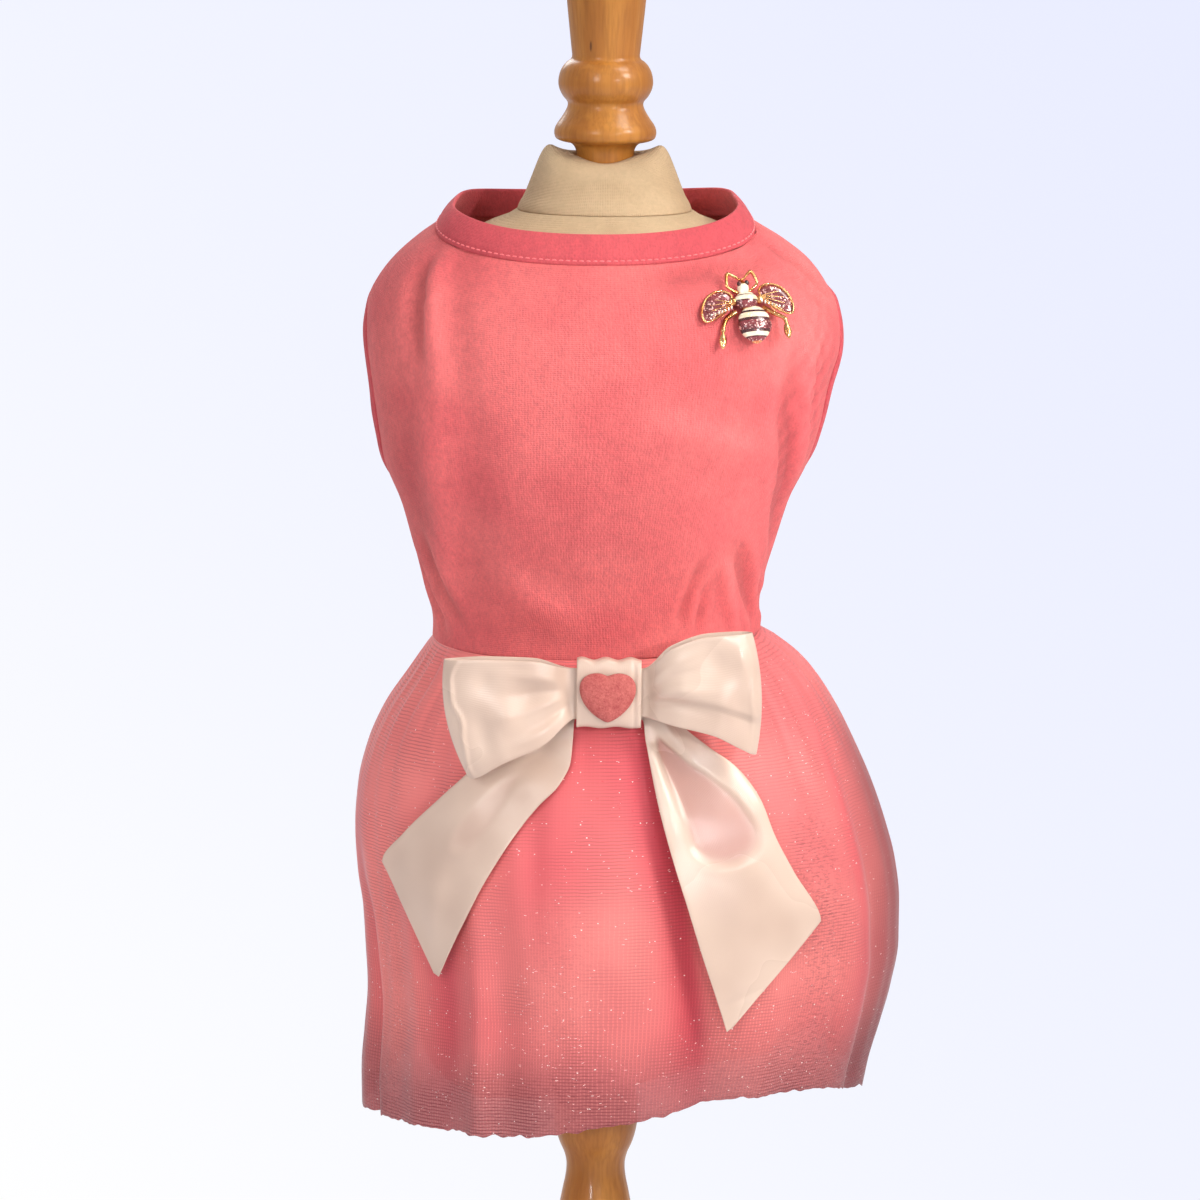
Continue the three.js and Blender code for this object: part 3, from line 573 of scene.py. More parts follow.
def threadMaterial(look):
    material, tree, wire = newMaterial("sewingThread", SheenWeight=0.3, SpecularIORLevel=0.4, Roughness=0.6)
    wire("Base Color", mixColour(tree, fuzzOf(tree, look["size"])["Speckle"], look["deep"], look["light"]))
    return material


threadLook = {"size": 3000.0, "deep": (240, 112, 118), "light": (255, 140, 140)}

jersey = clothMaterial("jersey", jerseyLook)
bandJersey = clothMaterial("bandJersey", bandLook)
liningCloth = clothMaterial("liningCloth", liningLook)
formCloth = clothMaterial("formCloth", formLook)
glitterNet = netMaterial(netLook)
satin = satinMaterial(satinLook)
flock = flockMaterial(flockLook)
wood = woodMaterial("varnishedWood", woodLook)
baseWood = woodMaterial("varnishedBaseWood", woodLook, lying=True)
gold = goldMaterial(goldLook)
maroonEnamel = enamelMaterial("maroonEnamel", maroonLook)
creamEnamel = enamelMaterial("creamEnamel", creamLook)
darkEnamel = enamelMaterial("darkEnamel", darkLook)
amberEnamel = enamelMaterial("amberEnamel", amberLook)
glitter = sparkMaterial("glitterFlake", glitterLook)
crystal = sparkMaterial("crystal", crystalLook)
thread = threadMaterial(threadLook)
print("materials made")

# Studio: a wide pale floor that is evenly bright away from the stand, four soft lights and five narrow pools.
studio = {
    "floorSize": 60.0,
    "floorDrop": 0.0002,
    "floor": (226, 226, 232),
    "nearLeft": (252, 252, 252),
    "middle": (240, 242, 254),
    "farRight": (231, 234, 255),
    "glowOver": (0.12, 0.52),
    "depthShift": 2.4,
    "depthOver": (0.343, 0.09),
    "sideOver": (-0.0863, 0.0863),
    "world": (0.95, 0.95, 1.0),
    "worldStrength": 0.52,
    "aim": (0.0, 0.0, 0.36),
    "poolSoftness": 0.12,
    "pools": [  # on the chest, its bright middle, the lower skirt, the left tail and the neck
        {"place": (1.3, -2.2, 1.0), "aim": (0.045, -0.03, 0.4), "angle": 5.4, "power": 195.0},
        {"place": (1.3, -2.2, 1.0), "aim": (0.052, -0.05, 0.39), "angle": 2.6, "power": 190.0},
        {"place": (0.5, -2.4, 0.9), "aim": (0.0, -0.08, 0.175), "angle": 4.0, "power": 95.0},
        {"place": (-0.7, -2.4, 0.7), "aim": (-0.06, -0.075, 0.228), "angle": 2.3, "power": 380.0},
        {"place": (-0.7, -1.6, 1.7), "aim": (-0.02, 0.02, 0.482), "angle": 2.6, "power": 120.0},
    ],
    "lights": [
        {"name": "key", "place": (2.2, -1.4, 1.9), "size": 0.8, "power": 44.5, "colour": (1.0, 0.96, 0.9)},
        {"name": "fill", "place": (-1.0, -2.3, 1.35), "size": 0.6, "power": 11.5, "colour": (1, 0.97, 0.95)},
        {"name": "top", "place": (1.1, -0.5, 2.2), "size": 0.7, "power": 15.0, "colour": (1.0, 0.98, 0.94)},
        {"name": "rim", "place": (-0.6, 1.9, 1.5), "size": 1.2, "power": 16.0, "colour": (1.0, 1.0, 1.0)},
    ],
}


def makeFloor(look):
    material, tree, wire = newMaterial("paleFloor", Roughness=0.8, SpecularIORLevel=0.1, EmissionStrength=1.0)
    place = objectPlace(tree)
    x, y, _ = put(tree, "SeparateXYZ", {0: place}).outputs
    away = put(tree, "VectorMath", {0: place}, operation="LENGTH").outputs["Value"]
    wide = mapValue(tree, away, look["glowOver"], steps="SMOOTHSTEP")
    glow = times(tree, wide, put(tree, "LightPath").outputs["Is Camera Ray"])
    # the tone drifts from near left to far right, ever slower with the distance
    near = calc(tree, "DIVIDE", 1.0, plus(tree, calc(tree, "ABSOLUTE", y), look["depthShift"]))
    far = mapValue(tree, near, look["depthOver"], (0.0, 0.5))
    aside = mapValue(tree, times(tree, x, near), look["sideOver"], (0.0, 0.5))
    drift = plus(tree, far, aside)
    tone = mixColour(tree, mapValue(tree, drift, (0.0, 0.5)), look["nearLeft"], look["middle"])
    tone = mixColour(tree, mapValue(tree, drift, (0.5, 1.0)), tone, look["farRight"])
    wire("Base Color", mixColour(tree, glow, look["floor"], (0, 0, 0)))
    wire("Emission Color", mixColour(tree, glow, (0, 0, 0), tone))
    half = look["floorSize"] / 2
    mesh = bpy.data.meshes.new("floor")
    corners = [(-half, -half, 0), (half, -half, 0), (half, half, 0), (-half, half, 0)]
    mesh.from_pydata(corners, [], [(0, 1, 2, 3)])
    mesh.materials.append(material)
    floor = bpy.data.objects.new("floor", mesh)
    floor.location.z = -look["floorDrop"]
    scene.collection.objects.link(floor)


def addLamp(name, kind, place, aim, **values):
    lamp = bpy.data.lights.new(name, kind)
    for key, value in values.items():
        setattr(lamp, key, value)
    holder = bpy.data.objects.new(name, lamp)
    holder.location = place
    holder.rotation_euler = (Vector(aim) - Vector(place)).to_track_quat("-Z", "Y").to_euler()
    scene.collection.objects.link(holder)


def makeLights(look):
    world = bpy.data.worlds.new("studio")
    world.use_nodes = True
    colour, strength = world.node_tree.nodes["Background"].inputs[:2]
    colour.default_value = (*look["world"], 1.0)
    strength.default_value = look["worldStrength"]
    scene.world = world
    for light in look["lights"]:
        addLamp(light["name"], "AREA", light["place"], look["aim"],
                size=light["size"], energy=light["power"], color=light["colour"])
    for pool in look["pools"]:
        addLamp("pool", "SPOT", pool["place"], pool["aim"], energy=pool["power"],
                spot_size=math.radians(pool["angle"]), spot_blend=1.0, shadow_soft_size=look["poolSoftness"])
    scene.view_settings.view_transform = "Standard"


makeFloor(studio)
makeLights(studio)
print("studio lit")


# Meshes.
def addPiece(name, points, faces, materials, replaced=(), faceUvs=None, faceKinds=None):
    name += "_piece" if replaced else ""
    mesh = bpy.data.meshes.new(name)
    mesh.from_pydata([Vector(p) for p in points], [], faces)
    for material in materials if isinstance(materials, list) else [materials]:
        mesh.materials.append(material)
    if faceKinds:
        mesh.polygons.foreach_set("material_index", faceKinds)
    mesh.polygons.foreach_set("use_smooth", [True] * len(faces))
    if faceUvs:
        layer = mesh.uv_layers.new(name="cloth")
        layer.uv.foreach_set("vector", [x for corners in faceUvs for uv in corners for x in uv])
    mesh.update()
    piece = bpy.data.objects.new(name, mesh)
    scene.collection.objects.link(piece)
    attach(piece, "root")
    if replaced:
        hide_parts(*replaced)
    return piece


def paintPoints(piece, label, values):
    # one value for each point of the grid, on both its faces; the rim's points stay at 0
    values = [value for value in values for _ in (0, 1)]
    values += [0.0] * (len(piece.data.vertices) - len(values))
    piece.data.attributes.new(label, "FLOAT", "POINT").data.foreach_set("value", values)


def heading(before, here, after):
    # the direction of a row of points at one of them, also where they lie unevenly
    first, second = here - before, after - here
    if not first.length or not second.length:
        return (first + second).normalized()
    return (first * second.length_squared + second * first.length_squared).normalized()


def clothShell(name, grid, wall, material, flat, replaced=(), ring=False, rimSteps=3, wallAt=None,
               placeAt=None):
    # a closed thin shell with round edges; points and wall in millimetres, flat cloth in metres
    grid = [[point * mm for point in row] for row in grid]
    rows, columns = len(grid), len(grid[0])
    spans = columns if ring else columns - 1

    def at(j, i):
        return grid[min(max(j, 0), rows - 1)][i % columns if ring else min(max(i, 0), columns - 1)]

    points, front, back, across, along = [], [], [], [], []
    for j in range(rows):
        front.append([])
        back.append([])
        across.append([])
        along.append([])
        for i in range(columns):
            side = heading(at(j, i - 1), grid[j][i], at(j, i + 1))
            rise = heading(at(j - 1, i), grid[j][i], at(j + 1, i))
            half = wall * mm / 2 * (wallAt(i / spans, j / (rows - 1)) if wallAt else 1)
            step = side.cross(rise).normalized() * half
            across[j].append(side * half)
            along[j].append(rise * half)
            front[j].append(len(points))
            points.append(grid[j][i] + step)
            back[j].append(len(points))
            points.append(grid[j][i] - step)
    faces, faceUvs = [], []

    def cloth(j, i):
        return placeAt(j, i) if placeAt else (flat[0] * i / spans, flat[1] * j / (rows - 1))

    def addFace(corners, places):
        faces.append(corners)
        faceUvs.append([cloth(*place) for place in places])

    for j in range(rows - 1):
        for i in range(spans):
            places = [(j, i), (j, i + 1), (j + 1, i + 1), (j + 1, i)]
            corners = [(a, b % columns) for a, b in places]
            addFace([front[a][b] for a, b in corners], places)
            addFace([back[a][b] for a, b in reversed(corners)], places[::-1])

    if ring:
        loops = [[(0, i) for i in range(spans + 1)], [(rows - 1, i) for i in range(spans, -1, -1)]]
    else:
        outward = [(0, i) for i in range(spans)] + [(j, spans) for j in range(rows - 1)]
        homeward = [(rows - 1, i) for i in range(spans, 0, -1)] + [(j, 0) for j in range(rows - 1, -1, -1)]
        loops = [outward + homeward]
    for loop in loops:
        arcs = []
        for j, i in loop[:-1]:
            column = i % columns
            out = Vector((0, 0, 0))
            if j == 0:
                out -= along[j][column]
            if j == rows - 1:
                out += along[j][column]
            if not ring and i == 0:
                out -= across[j][column]
            if not ring and i == spans:
                out += across[j][column]
            middle = grid[j][column]
            reach = points[front[j][column]] - middle
            arc = [front[j][column]]
            for k in range(1, rimSteps):
                turn = math.pi * k / rimSteps
                arc.append(len(points))
                points.append(middle + reach * math.cos(turn) + out * math.sin(turn))
            arcs.append(arc + [back[j][column]])
        arcs.append(arcs[0])
        for k in range(len(loop) - 1):
            for step in range(rimSteps):
                corners = [arcs[k][step], arcs[k][step + 1], arcs[k + 1][step + 1], arcs[k + 1][step]]
                addFace(corners, [loop[k], loop[k], loop[k + 1], loop[k + 1]])
    return addPiece(name, points, faces, material, replaced, faceUvs)


def ringSolid(rings, cloth=None):
    # points, faces and cloth coordinates of a solid through closed rings of points
    count = len(rings[0])
    points = [p for ring in rings for p in ring]
    faces, faceUvs = [], []
    size = cloth or (1.0, 1.0)

    def place(j, i):
        return (size[0] * i / count, size[1] * j / (len(rings) - 1))

    for j in range(len(rings) - 1):
        for i in range(count):
            near = (i + 1) % count
            faces.append([j * count + i, j * count + near, (j + 1) * count + near, (j + 1) * count + i])
            faceUvs.append([place(j, i), place(j, i + 1), place(j + 1, i + 1), place(j + 1, i)])
    for j, turned in ((0, True), (len(rings) - 1, False)):
        middle = len(points)
        points.append(sum(rings[j], Vector()) / count)
        for i in range(count):
            pair = [j * count + i, j * count + (i + 1) % count]
            faces.append([middle] + (pair[::-1] if turned else pair))
            faceUvs.append([place(j, i)] * 3)
    return points, faces, faceUvs


def roundCorners(profile, rounds=3):
    # cuts the corners of a turned profile again and again, and keeps both ends
    points = [Vector(p) for p in profile]
    for _ in range(rounds):
        cut = [points[0]]
        for a, b in zip(points, points[1:]):
            cut += [a.lerp(b, 0.25), a.lerp(b, 0.75)]
        points = cut + [points[-1]]
    return points


def turnedPiece(name, profile, segments=96, material=None):
    middle = roundCorners(profile)[1:-1]
    rings = []
    for point in middle:
        radius, height = max(point.x, 0.05) * mm, point.y * mm
        turns = (2 * math.pi * i / segments for i in range(segments))
        rings.append([Vector((radius * math.cos(t), radius * math.sin(t), height)) for t in turns])
    points, faces, faceUvs = ringSolid(rings)
    return addPiece(name, points, faces, material or wood, (name,), faceUvs)


# The dress's surfaces, in millimetres and in degrees from the front.
dress = {
    "lean": 0.03,
    "neckLean": 0.015,
    "roundness": 0.9,
    "waistHeight": 331,
    "waistDip": 3.5,
    "waistHalf": 56,
    "neckHalf": 54,
    "neckSide": 472.2,
    "neckFront": 461,
    "neckBack": 469,
    "sideSeam": 103,
    "foldGrowth": 0.45,
}
bodiceSections = [  # height, middle, half width, front depth, back depth
    (318, -0.5, 59.5, 48.5, 42.5), (326, -1.2, 56.6, 46.8, 41.2), (334, -1.4, 56.0, 46.6, 41),
    (348, -2.6, 57.8, 48.6, 44), (362, -2.8, 61.8, 52.8, 48.5), (376, -2.9, 66.0, 56.6, 52.5),
    (390, -2.4, 72.3, 58.6, 56), (404, -1.4, 76.4, 59.4, 57.5), (418, -0.7, 79.0, 59.6, 58),
    (432, 0.1, 81.3, 58.8, 57.5), (445, -0.4, 79.8, 55.6, 55.5), (452, -0.8, 76.4, 52.2, 53.4),
    (459, -0.8, 71.2, 47.4, 50), (466, -1.3, 63, 41.8, 44.8), (472.5, -2, 53, 35.5, 38.4),
    (480, -1.4, 42, 29, 31),
]
skirtSections = [  # height, left, right, front and back depth
    (331, 57.4, 54.6, 46.6, 41), (327, 59.6, 60.5, 48.6, 44), (319, 64.6, 70.2, 53.6, 49.5),
    (305, 74.2, 80.4, 61, 57), (292, 80, 87.4, 66.8, 62), (278, 83.4, 93.8, 71.5, 65.5),
    (264, 84.4, 98.6, 75, 68), (250, 83.6, 102.2, 78, 69.5), (236, 81.6, 103.8, 80, 70),
    (222, 80.6, 103.8, 81.4, 70), (207, 79.8, 101.4, 82.4, 70), (193, 80.8, 97.8, 83, 70),
    (179, 81.8, 94, 83.6, 70), (160, 81.4, 91.4, 84, 70),
]
netHem = [  # angle, height
    (-125, 172), (-90, 164), (-60, 167), (-15, 169), (0, 173), (15, 178), (30, 181.5), (50, 181), (75, 175),
    (95, 171.5), (125, 180),
]
skirtFolds = [  # angle at the hem, angle at the waist, width, depth, where it starts
    (-114, -128, 7, -5, 0.1), (-98, -108, 6, -3.5, 0.1), (-72, -80, 4.5, -6, 0.35), (-56, -60, 7, -3, 0.1),
    (-38, -44, 8, -4, 0.05), (-27, -30, 3, 2, 0.4), (-20, -24, 6, -3, 0.3), (22, 8, 6.5, -6, 0.08),
    (43, 34, 9, -3, 0.15), (72, 66, 6, -4.5, 0.1), (98, 100, 6, -4, 0.1), (114, 124, 6, -4.5, 0.1),
]
bodiceCurves = [curveOf(bodiceSections, column) for column in range(1, 5)]
skirtCurves = [curveOf(skirtSections, column) for column in range(1, 5)]
hemCurve = curveOf(netHem, 1)


def squared(value):
    return math.copysign(abs(value) ** dress["roundness"], value)


def across(angle):
    return squared(math.sin(math.radians(angle)))


def forward(angle):
    return squared(math.cos(math.radians(angle)))


def waistZ(angle):
    turn = math.radians(angle)
    dip = dress["waistDip"] * max(0, math.cos(turn))
    return dress["waistHeight"] - dip + dress["lean"] * dress["waistHalf"] * math.sin(turn)


def neckZ(angle):
    ahead = math.cos(math.radians(angle))
    if ahead > 0:
        drop = (dress["neckSide"] - dress["neckFront"]) * ahead ** 1.4
    else:
        drop = (dress["neckSide"] - dress["neckBack"]) * ahead ** 2
    return dress["neckSide"] - drop + dress["neckLean"] * dress["neckHalf"] * math.sin(math.radians(angle))


def bodicePoint(angle, up, out=0.0):
    # out is how far the cloth stands off its resting surface
    z = lerp(waistZ(angle), neckZ(angle), up)
    middle, half, front, back = (curve(z) for curve in bodiceCurves)
    depth = front if math.cos(math.radians(angle)) > 0 else back
    return Vector((middle + (half + out) * across(angle), -(depth + out) * forward(angle), z))


def foldDepth(angle, down):
    total = 0
    for hemAngle, waistAngle, width, depth, start in skirtFolds:
        away = (angle - lerp(waistAngle, hemAngle, down)) / width
        if abs(away) < 3:
            total += smoothstep(down, start, start + dress["foldGrowth"]) * depth * math.exp(-away * away)
    return total


def skirtPoint(angle, z, offset):
    waist = waistZ(angle)
    grow = offset + foldDepth(angle, clamp((waist - z) / (waist - hemCurve(angle))))
    level = z - dress["lean"] * dress["waistHalf"] * math.sin(math.radians(angle))
    left, right, front, back = (curve(level) for curve in skirtCurves)
    side = right if angle > 0 else left
    depth = front if math.cos(math.radians(angle)) > 0 else back
    return Vector(((side + grow) * across(angle), -(depth + grow) * forward(angle), z))


def skirtFront(x, z):
    side = skirtCurves[1 if x > 0 else 0](z)
    share = clamp(abs(x) / side, 0, 0.97) ** (1 / dress["roundness"])
    return skirtCurves[2](z) * math.sqrt(1 - share * share) ** dress["roundness"]


# Bodice.
bodice = {
    "wall": 0.7,
    "rowsBelow": 38,
    "rowsBeside": 56,
    "rowsAbove": 18,
    "armBelow": 0.346,
    "armAbove": 0.855,
    "armMiddle": 0.597,
    "armHalfHeight": 0.25,
    "armHalfAngle": 23,
    "seamAngle": 0.1,
    "seamTuck": 0.8,
    "tuckWidth": 2.2,
    "sway": 0.35,
    "creases": 1.8,
    "slack": 1.1,
    "slackEnd": 0.5,
    "calmWaist": 3.4,
    "creaseTone": 0.3,
    "toneFrom": -0.6,
    "backFlat": (0.27, 0.15),
    "bellyFlat": (0.15, 0.15),
}
degreeLength = 1.15  # of cloth per degree round the chest
panelHeight = 138.0

# Creases: path of (angle, up) places, half width, depth. A trough has a negative depth.
backCreases = [
    ([(-52, 0.99), (-44, 0.9), (-41, 0.74), (-42, 0.62)], 4.5, 0.9),
    ([(-58, 0.97), (-50, 0.88), (-48, 0.72)], 4.0, -1.1),
    ([(-41, 0.72), (-46, 0.4), (-57, 0.08)], 7.5, 1.1),
    ([(4, 0.965), (24, 0.96), (44, 0.95), (54, 0.96)], 3.2, -1.0),
    ([(14, 0.93), (32, 0.925), (48, 0.935)], 3.6, 0.5),
    ([(60, 0.985), (68, 0.93), (80, 0.82)], 3.2, -1.1),
    ([(54, 0.95), (64, 0.88), (76, 0.77)], 3.0, -0.7),
    ([(48, 0.27), (59, 0.16), (73, 0.03)], 3.2, -1.5),
    ([(43, 0.24), (50, 0.13), (58, 0.02)], 2.8, 0.7),
    ([(35, 0.25), (32, 0.16), (27, 0.06)], 2.4, -1.0),
    ([(38, 0.2), (37, 0.12), (34, 0.04)], 2.0, -0.7),
    ([(50, 0.8), (53, 0.57), (66, 0.36), (82, 0.17)], 4.2, -1.3),
    ([(57, 0.76), (60, 0.56), (72, 0.38)], 3.4, 0.8),
    ([(8, 0.61), (24, 0.585), (46, 0.49)], 5.0, 0.5),
    ([(-30, 0.24), (-18, 0.15), (0, 0.09)], 6.0, 0.5),
    ([(-70, 0.3), (-62, 0.16), (-50, 0.05)], 4.0, -0.9),
    ([(-88, 0.24), (-76, 0.12), (-64, 0.03)], 3.2, -0.8),
    ([(72, 0.14), (82, 0.08), (94, 0.05)], 2.8, -0.7),
]
bellyCreases = [
    ([(118, 0.22), (132, 0.12), (150, 0.06)], 4.0, -1.0),
    ([(124, 0.95), (138, 0.86), (150, 0.72)], 4.5, -1.1),
    ([(160, 0.9), (172, 0.8), (190, 0.76), (206, 0.82)], 6.5, -1.0),
    ([(238, 0.93), (226, 0.83), (216, 0.66)], 4.5, -1.0),
    ([(242, 0.2), (226, 0.13), (208, 0.08)], 4.0, -1.0),
    ([(168, 0.12), (176, 0.28), (178, 0.44)], 5.0, 0.7),
    ([(196, 0.06), (200, 0.2), (206, 0.36)], 3.8, -0.8),
]

# Painted light and shade on the jersey, in soft patches: angle, up, half width, half height, strength (above
# 0 darker, below 0 lighter).
bodiceShades = [
    (8, 0.42, 26, 0.2, 0.3), (-28, 0.72, 16, 0.2, -0.25), (44, 0.34, 16, 0.1, -0.3),
    (26, 0.93, 22, 0.05, 0.3), (-66, 0.45, 12, 0.3, 0.3), (52, 0.72, 9, 0.12, -0.25),
    (0, 0.05, 40, 0.07, 0.2),
]


def creaseDepth(angle, up, creases):
    x, y = angle * degreeLength, up * panelHeight
    total = 0
    for path, width, depth in creases:
        places = [(a * degreeLength, b * panelHeight) for a, b in path]
        if not min(p[0] for p in places) - 3 * width < x < max(p[0] for p in places) + 3 * width:
            continue
        best, share = 1e9, 0
        for k in range(len(places) - 1):
            (ax, ay), (bx, by) = places[k], places[k + 1]
            length = (bx - ax) ** 2 + (by - ay) ** 2
            t = clamp(((x - ax) * (bx - ax) + (y - ay) * (by - ay)) / length)
            gap = math.hypot(x - lerp(ax, bx, t), y - lerp(ay, by, t))
            if gap < best:
                best, share = gap, (k + t) / (len(places) - 1)
        fade = smoothstep(share, -0.05, 0.3) * (1 - smoothstep(share, 0.7, 1.05))
        body = bell(best, width) - 0.35 * bell(best - 2 * width, width)
        total += depth * bodice["creases"] * fade * body
    return total


puckers = {  # small ones on the back panel, beside the right armhole
    "angle": 62, "spread": 10, "up": 0.62, "height": 0.19, "least": 0.02, "depth": 0.9,
    "turns": 1.05, "rows": 84, "slant": 0.25,
}


def puckerDepth(angle, up):
    zone = bell(angle - puckers["angle"], puckers["spread"]) * bell(up - puckers["up"], puckers["height"])
    if zone < puckers["least"]:
        return 0
    wave = math.sin(angle * puckers["turns"]) * math.sin(up * puckers["rows"] + angle * puckers["slant"])
    return puckers["depth"] * zone * wave


def bodiceShade(angle, up):
    return sum(strength * bell(angle - far, wide) * bell(up - high, tall)
               for far, high, wide, tall, strength in bodiceShades)


def bodiceRows():
    # each row's place between waist and neck, and how far the armhole cuts into it
    below, beside, above = bodice["rowsBelow"], bodice["rowsBeside"], bodice["rowsAbove"]
    rows = [(bodice["armBelow"] * k / below, 0.0) for k in range(below + 1)]
    for k in range(1, beside):
        share = k / beside
        up = bodice["armMiddle"] - bodice["armHalfHeight"] * math.cos(math.pi * share)
        if up > rows[-1][0]:
            rows.append((up, bodice["armHalfAngle"] * math.sin(math.pi * share)))
    return rows + [(lerp(bodice["armAbove"], 1.0, k / above), 0.0) for k in range(above + 1)]


def bodicePanel(name, columns, edges, creases, flat, puckeredAndShaded):
    grid, paintedShade, rows = [], [], bodiceRows()
    for up, notch in rows:
        first, last = edges(notch)
        row = []
        for i in range(columns + 1):
            angle = lerp(first, last, i / columns)
            fromEdge = min(angle - first, last - angle) * degreeLength
            tuck = max(0, 1 - fromEdge / bodice["tuckWidth"]) ** 2
            crease = creaseDepth(angle, up, creases)
            out = crease * smoothstep(up * panelHeight, 0, bodice["calmWaist"]) - bodice["seamTuck"] * tuck
            out += bodice["sway"] * noise.noise(Vector((angle / 16, up * 7, 3.1)))
            # painted light and shade: soft patches, and puckers and creases, lighter where they stand out and
            # darker in their troughs
            shade = 0.0
            if puckeredAndShaded:
                pucker = puckerDepth(angle, up)
                out += pucker
                shade = bodiceShade(angle, up) - pucker
            paintedShade.append(clamp(shade - bodice["creaseTone"] * crease, bodice["toneFrom"], 1.0))
            beyond = -bodice["slack"] - out
            if beyond > 0:  # a trough never reaches the form under the cloth
                out = -bodice["slack"] - bodice["slackEnd"] * math.tanh(beyond / bodice["slackEnd"])
            row.append(bodicePoint(angle, up, out))
        grid.append(row)

    def placeAt(j, i):
        first, last = edges(rows[j][1])
        return lerp(first, last, i / columns) * degreeLength * mm, rows[j][0] * panelHeight * mm

    piece = clothShell(name, grid, bodice["wall"], jersey, flat, (name,), placeAt=placeAt)
    paintPoints(piece, "paintedShade", paintedShade)
    return piece


def backEdges(notch):
    edge = dress["sideSeam"] - bodice["seamAngle"] - notch
    return -edge, edge


def bellyEdges(notch):
    edge = dress["sideSeam"] + bodice["seamAngle"] + notch
    return edge, 360 - edge


bodiceBack = bodicePanel("bodice_back", 170, backEdges, backCreases, bodice["backFlat"], True)
bodiceBelly = bodicePanel("bodice_belly", 110, bellyEdges, bellyCreases, bodice["bellyFlat"], False)
print("bodice sewn")

# Neckband, with its edge-stitched seam.
band = {
    "rows": 15, "columns": 220, "waves": [(0.16, 5, 0), (0.12, 11, 40)],  # depth, count round the neck, start
    "pull": 0.3, "pullWidth": 0.7, "stitchOut": 0.78, "edgeBelow": 0.35, "edgeAbove": 0.5,
    "height": 10.4, "lift": 0.6, "wall": 2.2, "sideSink": 1.8, "insetFront": 5, "insetSide": 6.4,
    "insetBack": 2.8, "stitchRise": 1.55, "stitchLength": 1.5, "stitchStep": 2.3, "stitchRadius": 0.26,
    "flat": (0.285, 0.0105),
}


def bandPoint(angle, rise, out=0.0):
    ahead = math.cos(math.radians(angle))
    ends = band["insetFront"] if ahead > 0 else band["insetBack"]
    inward = lerp(band["insetSide"], ends, ahead * ahead) * rise / band["height"] - out
    point = bodicePoint(angle, 1)
    sink = band["sideSink"] * abs(math.sin(math.radians(angle))) ** 12 * rise / band["height"]
    return point + Vector((-inward * across(angle), inward * forward(angle), rise - sink))


def bandWall(_, up):
    return (0.62 + 0.5 * math.sin(math.pi * min(1, 0.12 + 0.8 * up))) * (1 - 0.25 * up ** 6)


def neckband():
    grid = []
    low, high = band["lift"] + band["edgeBelow"], band["height"] - band["edgeAbove"]
    for j in range(band["rows"]):
        rise = lerp(low, high, j / (band["rows"] - 1))
        row = []
        for i in range(band["columns"]):
            angle = 360 * i / band["columns"]
            wave = sum(depth * math.sin(math.radians(count * angle + start))
                       for depth, count, start in band["waves"])
            pull = -band["pull"] * bell(rise - band["stitchRise"], band["pullWidth"])
            row.append(bandPoint(angle, rise, pull + wave * rise / band["height"]))
        grid.append(row)
    return clothShell("neckband", grid, band["wall"], bandJersey, band["flat"],
                      ("neckband",), ring=True, rimSteps=6, wallAt=bandWall)


def addStitches(name, path, outward, look):
    # one row of short threads that lie along a path of points in metres
    points, faces = [], []
    lengths = [0.0]
    for a, b in zip(path, path[1:]):
        lengths.append(lengths[-1] + (b - a).length)

    def placeAt(distance):
        k = int(clamp(bisect.bisect_right(lengths, distance) - 1, 0, len(path) - 2))
        t = (distance - lengths[k]) / (lengths[k + 1] - lengths[k])
        return path[k].lerp(path[k + 1], t), outward[k].lerp(outward[k + 1], t).normalized()

    start, sides, radius = 0.0, 6, look["stitchRadius"] * mm
    shares = [(0.0, 0.35, -0.5), (0.15, 0.85, 0.1), (0.5, 1.0, 0.35), (0.85, 0.85, 0.1), (1.0, 0.35, -0.5)]
    while start + look["stitchLength"] * mm < lengths[-1]:
        rings = []
        for share, girth, lift in shares:
            middle, normal = placeAt(start + share * look["stitchLength"] * mm)
            ahead, _ = placeAt(start + share * look["stitchLength"] * mm + 0.0001)
            side = (ahead - middle).normalized().cross(normal).normalized()
            turns = [2 * math.pi * k / sides for k in range(sides)]
            rings.append([middle + normal * lift * radius
                          + (side * math.cos(t) + normal * math.sin(t)) * radius * girth for t in turns])
        ringPoints, ringFaces, _ = ringSolid(rings)
        faces += [[index + len(points) for index in face] for face in ringFaces]
        points += ringPoints
        start += look["stitchStep"] * mm
    return addPiece(name, points, faces, thread)


collar = neckband()
seamPath, seamOut = [], []
for step in range(361):
    angle = step - 180
    low, high = bandPoint(angle, band["stitchRise"]), bandPoint(angle, band["stitchRise"] + 1)
    ahead = bandPoint(angle + 1, band["stitchRise"]) - low
    normal = ahead.cross(high - low).normalized()
    seamPath.append((low + normal * band["stitchOut"]) * mm)
    seamOut.append(normal)
bandStitches = addStitches("neckband_stitches", seamPath, seamOut, band)
print("neckband sewn")

# Armhole bindings: a folded strip round each armhole, rolled over the cut edge.
binding = {
    "rows": 9, "columns": 150, "wall": 1.7, "reach": 0.13, "innerReach": 0.92, "height": 0.046, "angle": 5.2,
    "roll": 0.35, "wave": 0.18, "waves": 7, "smallWave": 0.1, "smallWaves": 13, "flat": (0.215, 0.01),
    "area": 0.0014,
}


def bindingWall(_, up):
    return 0.62 + 0.38 * math.sin(math.pi * clamp(up, 0.1, 0.8))


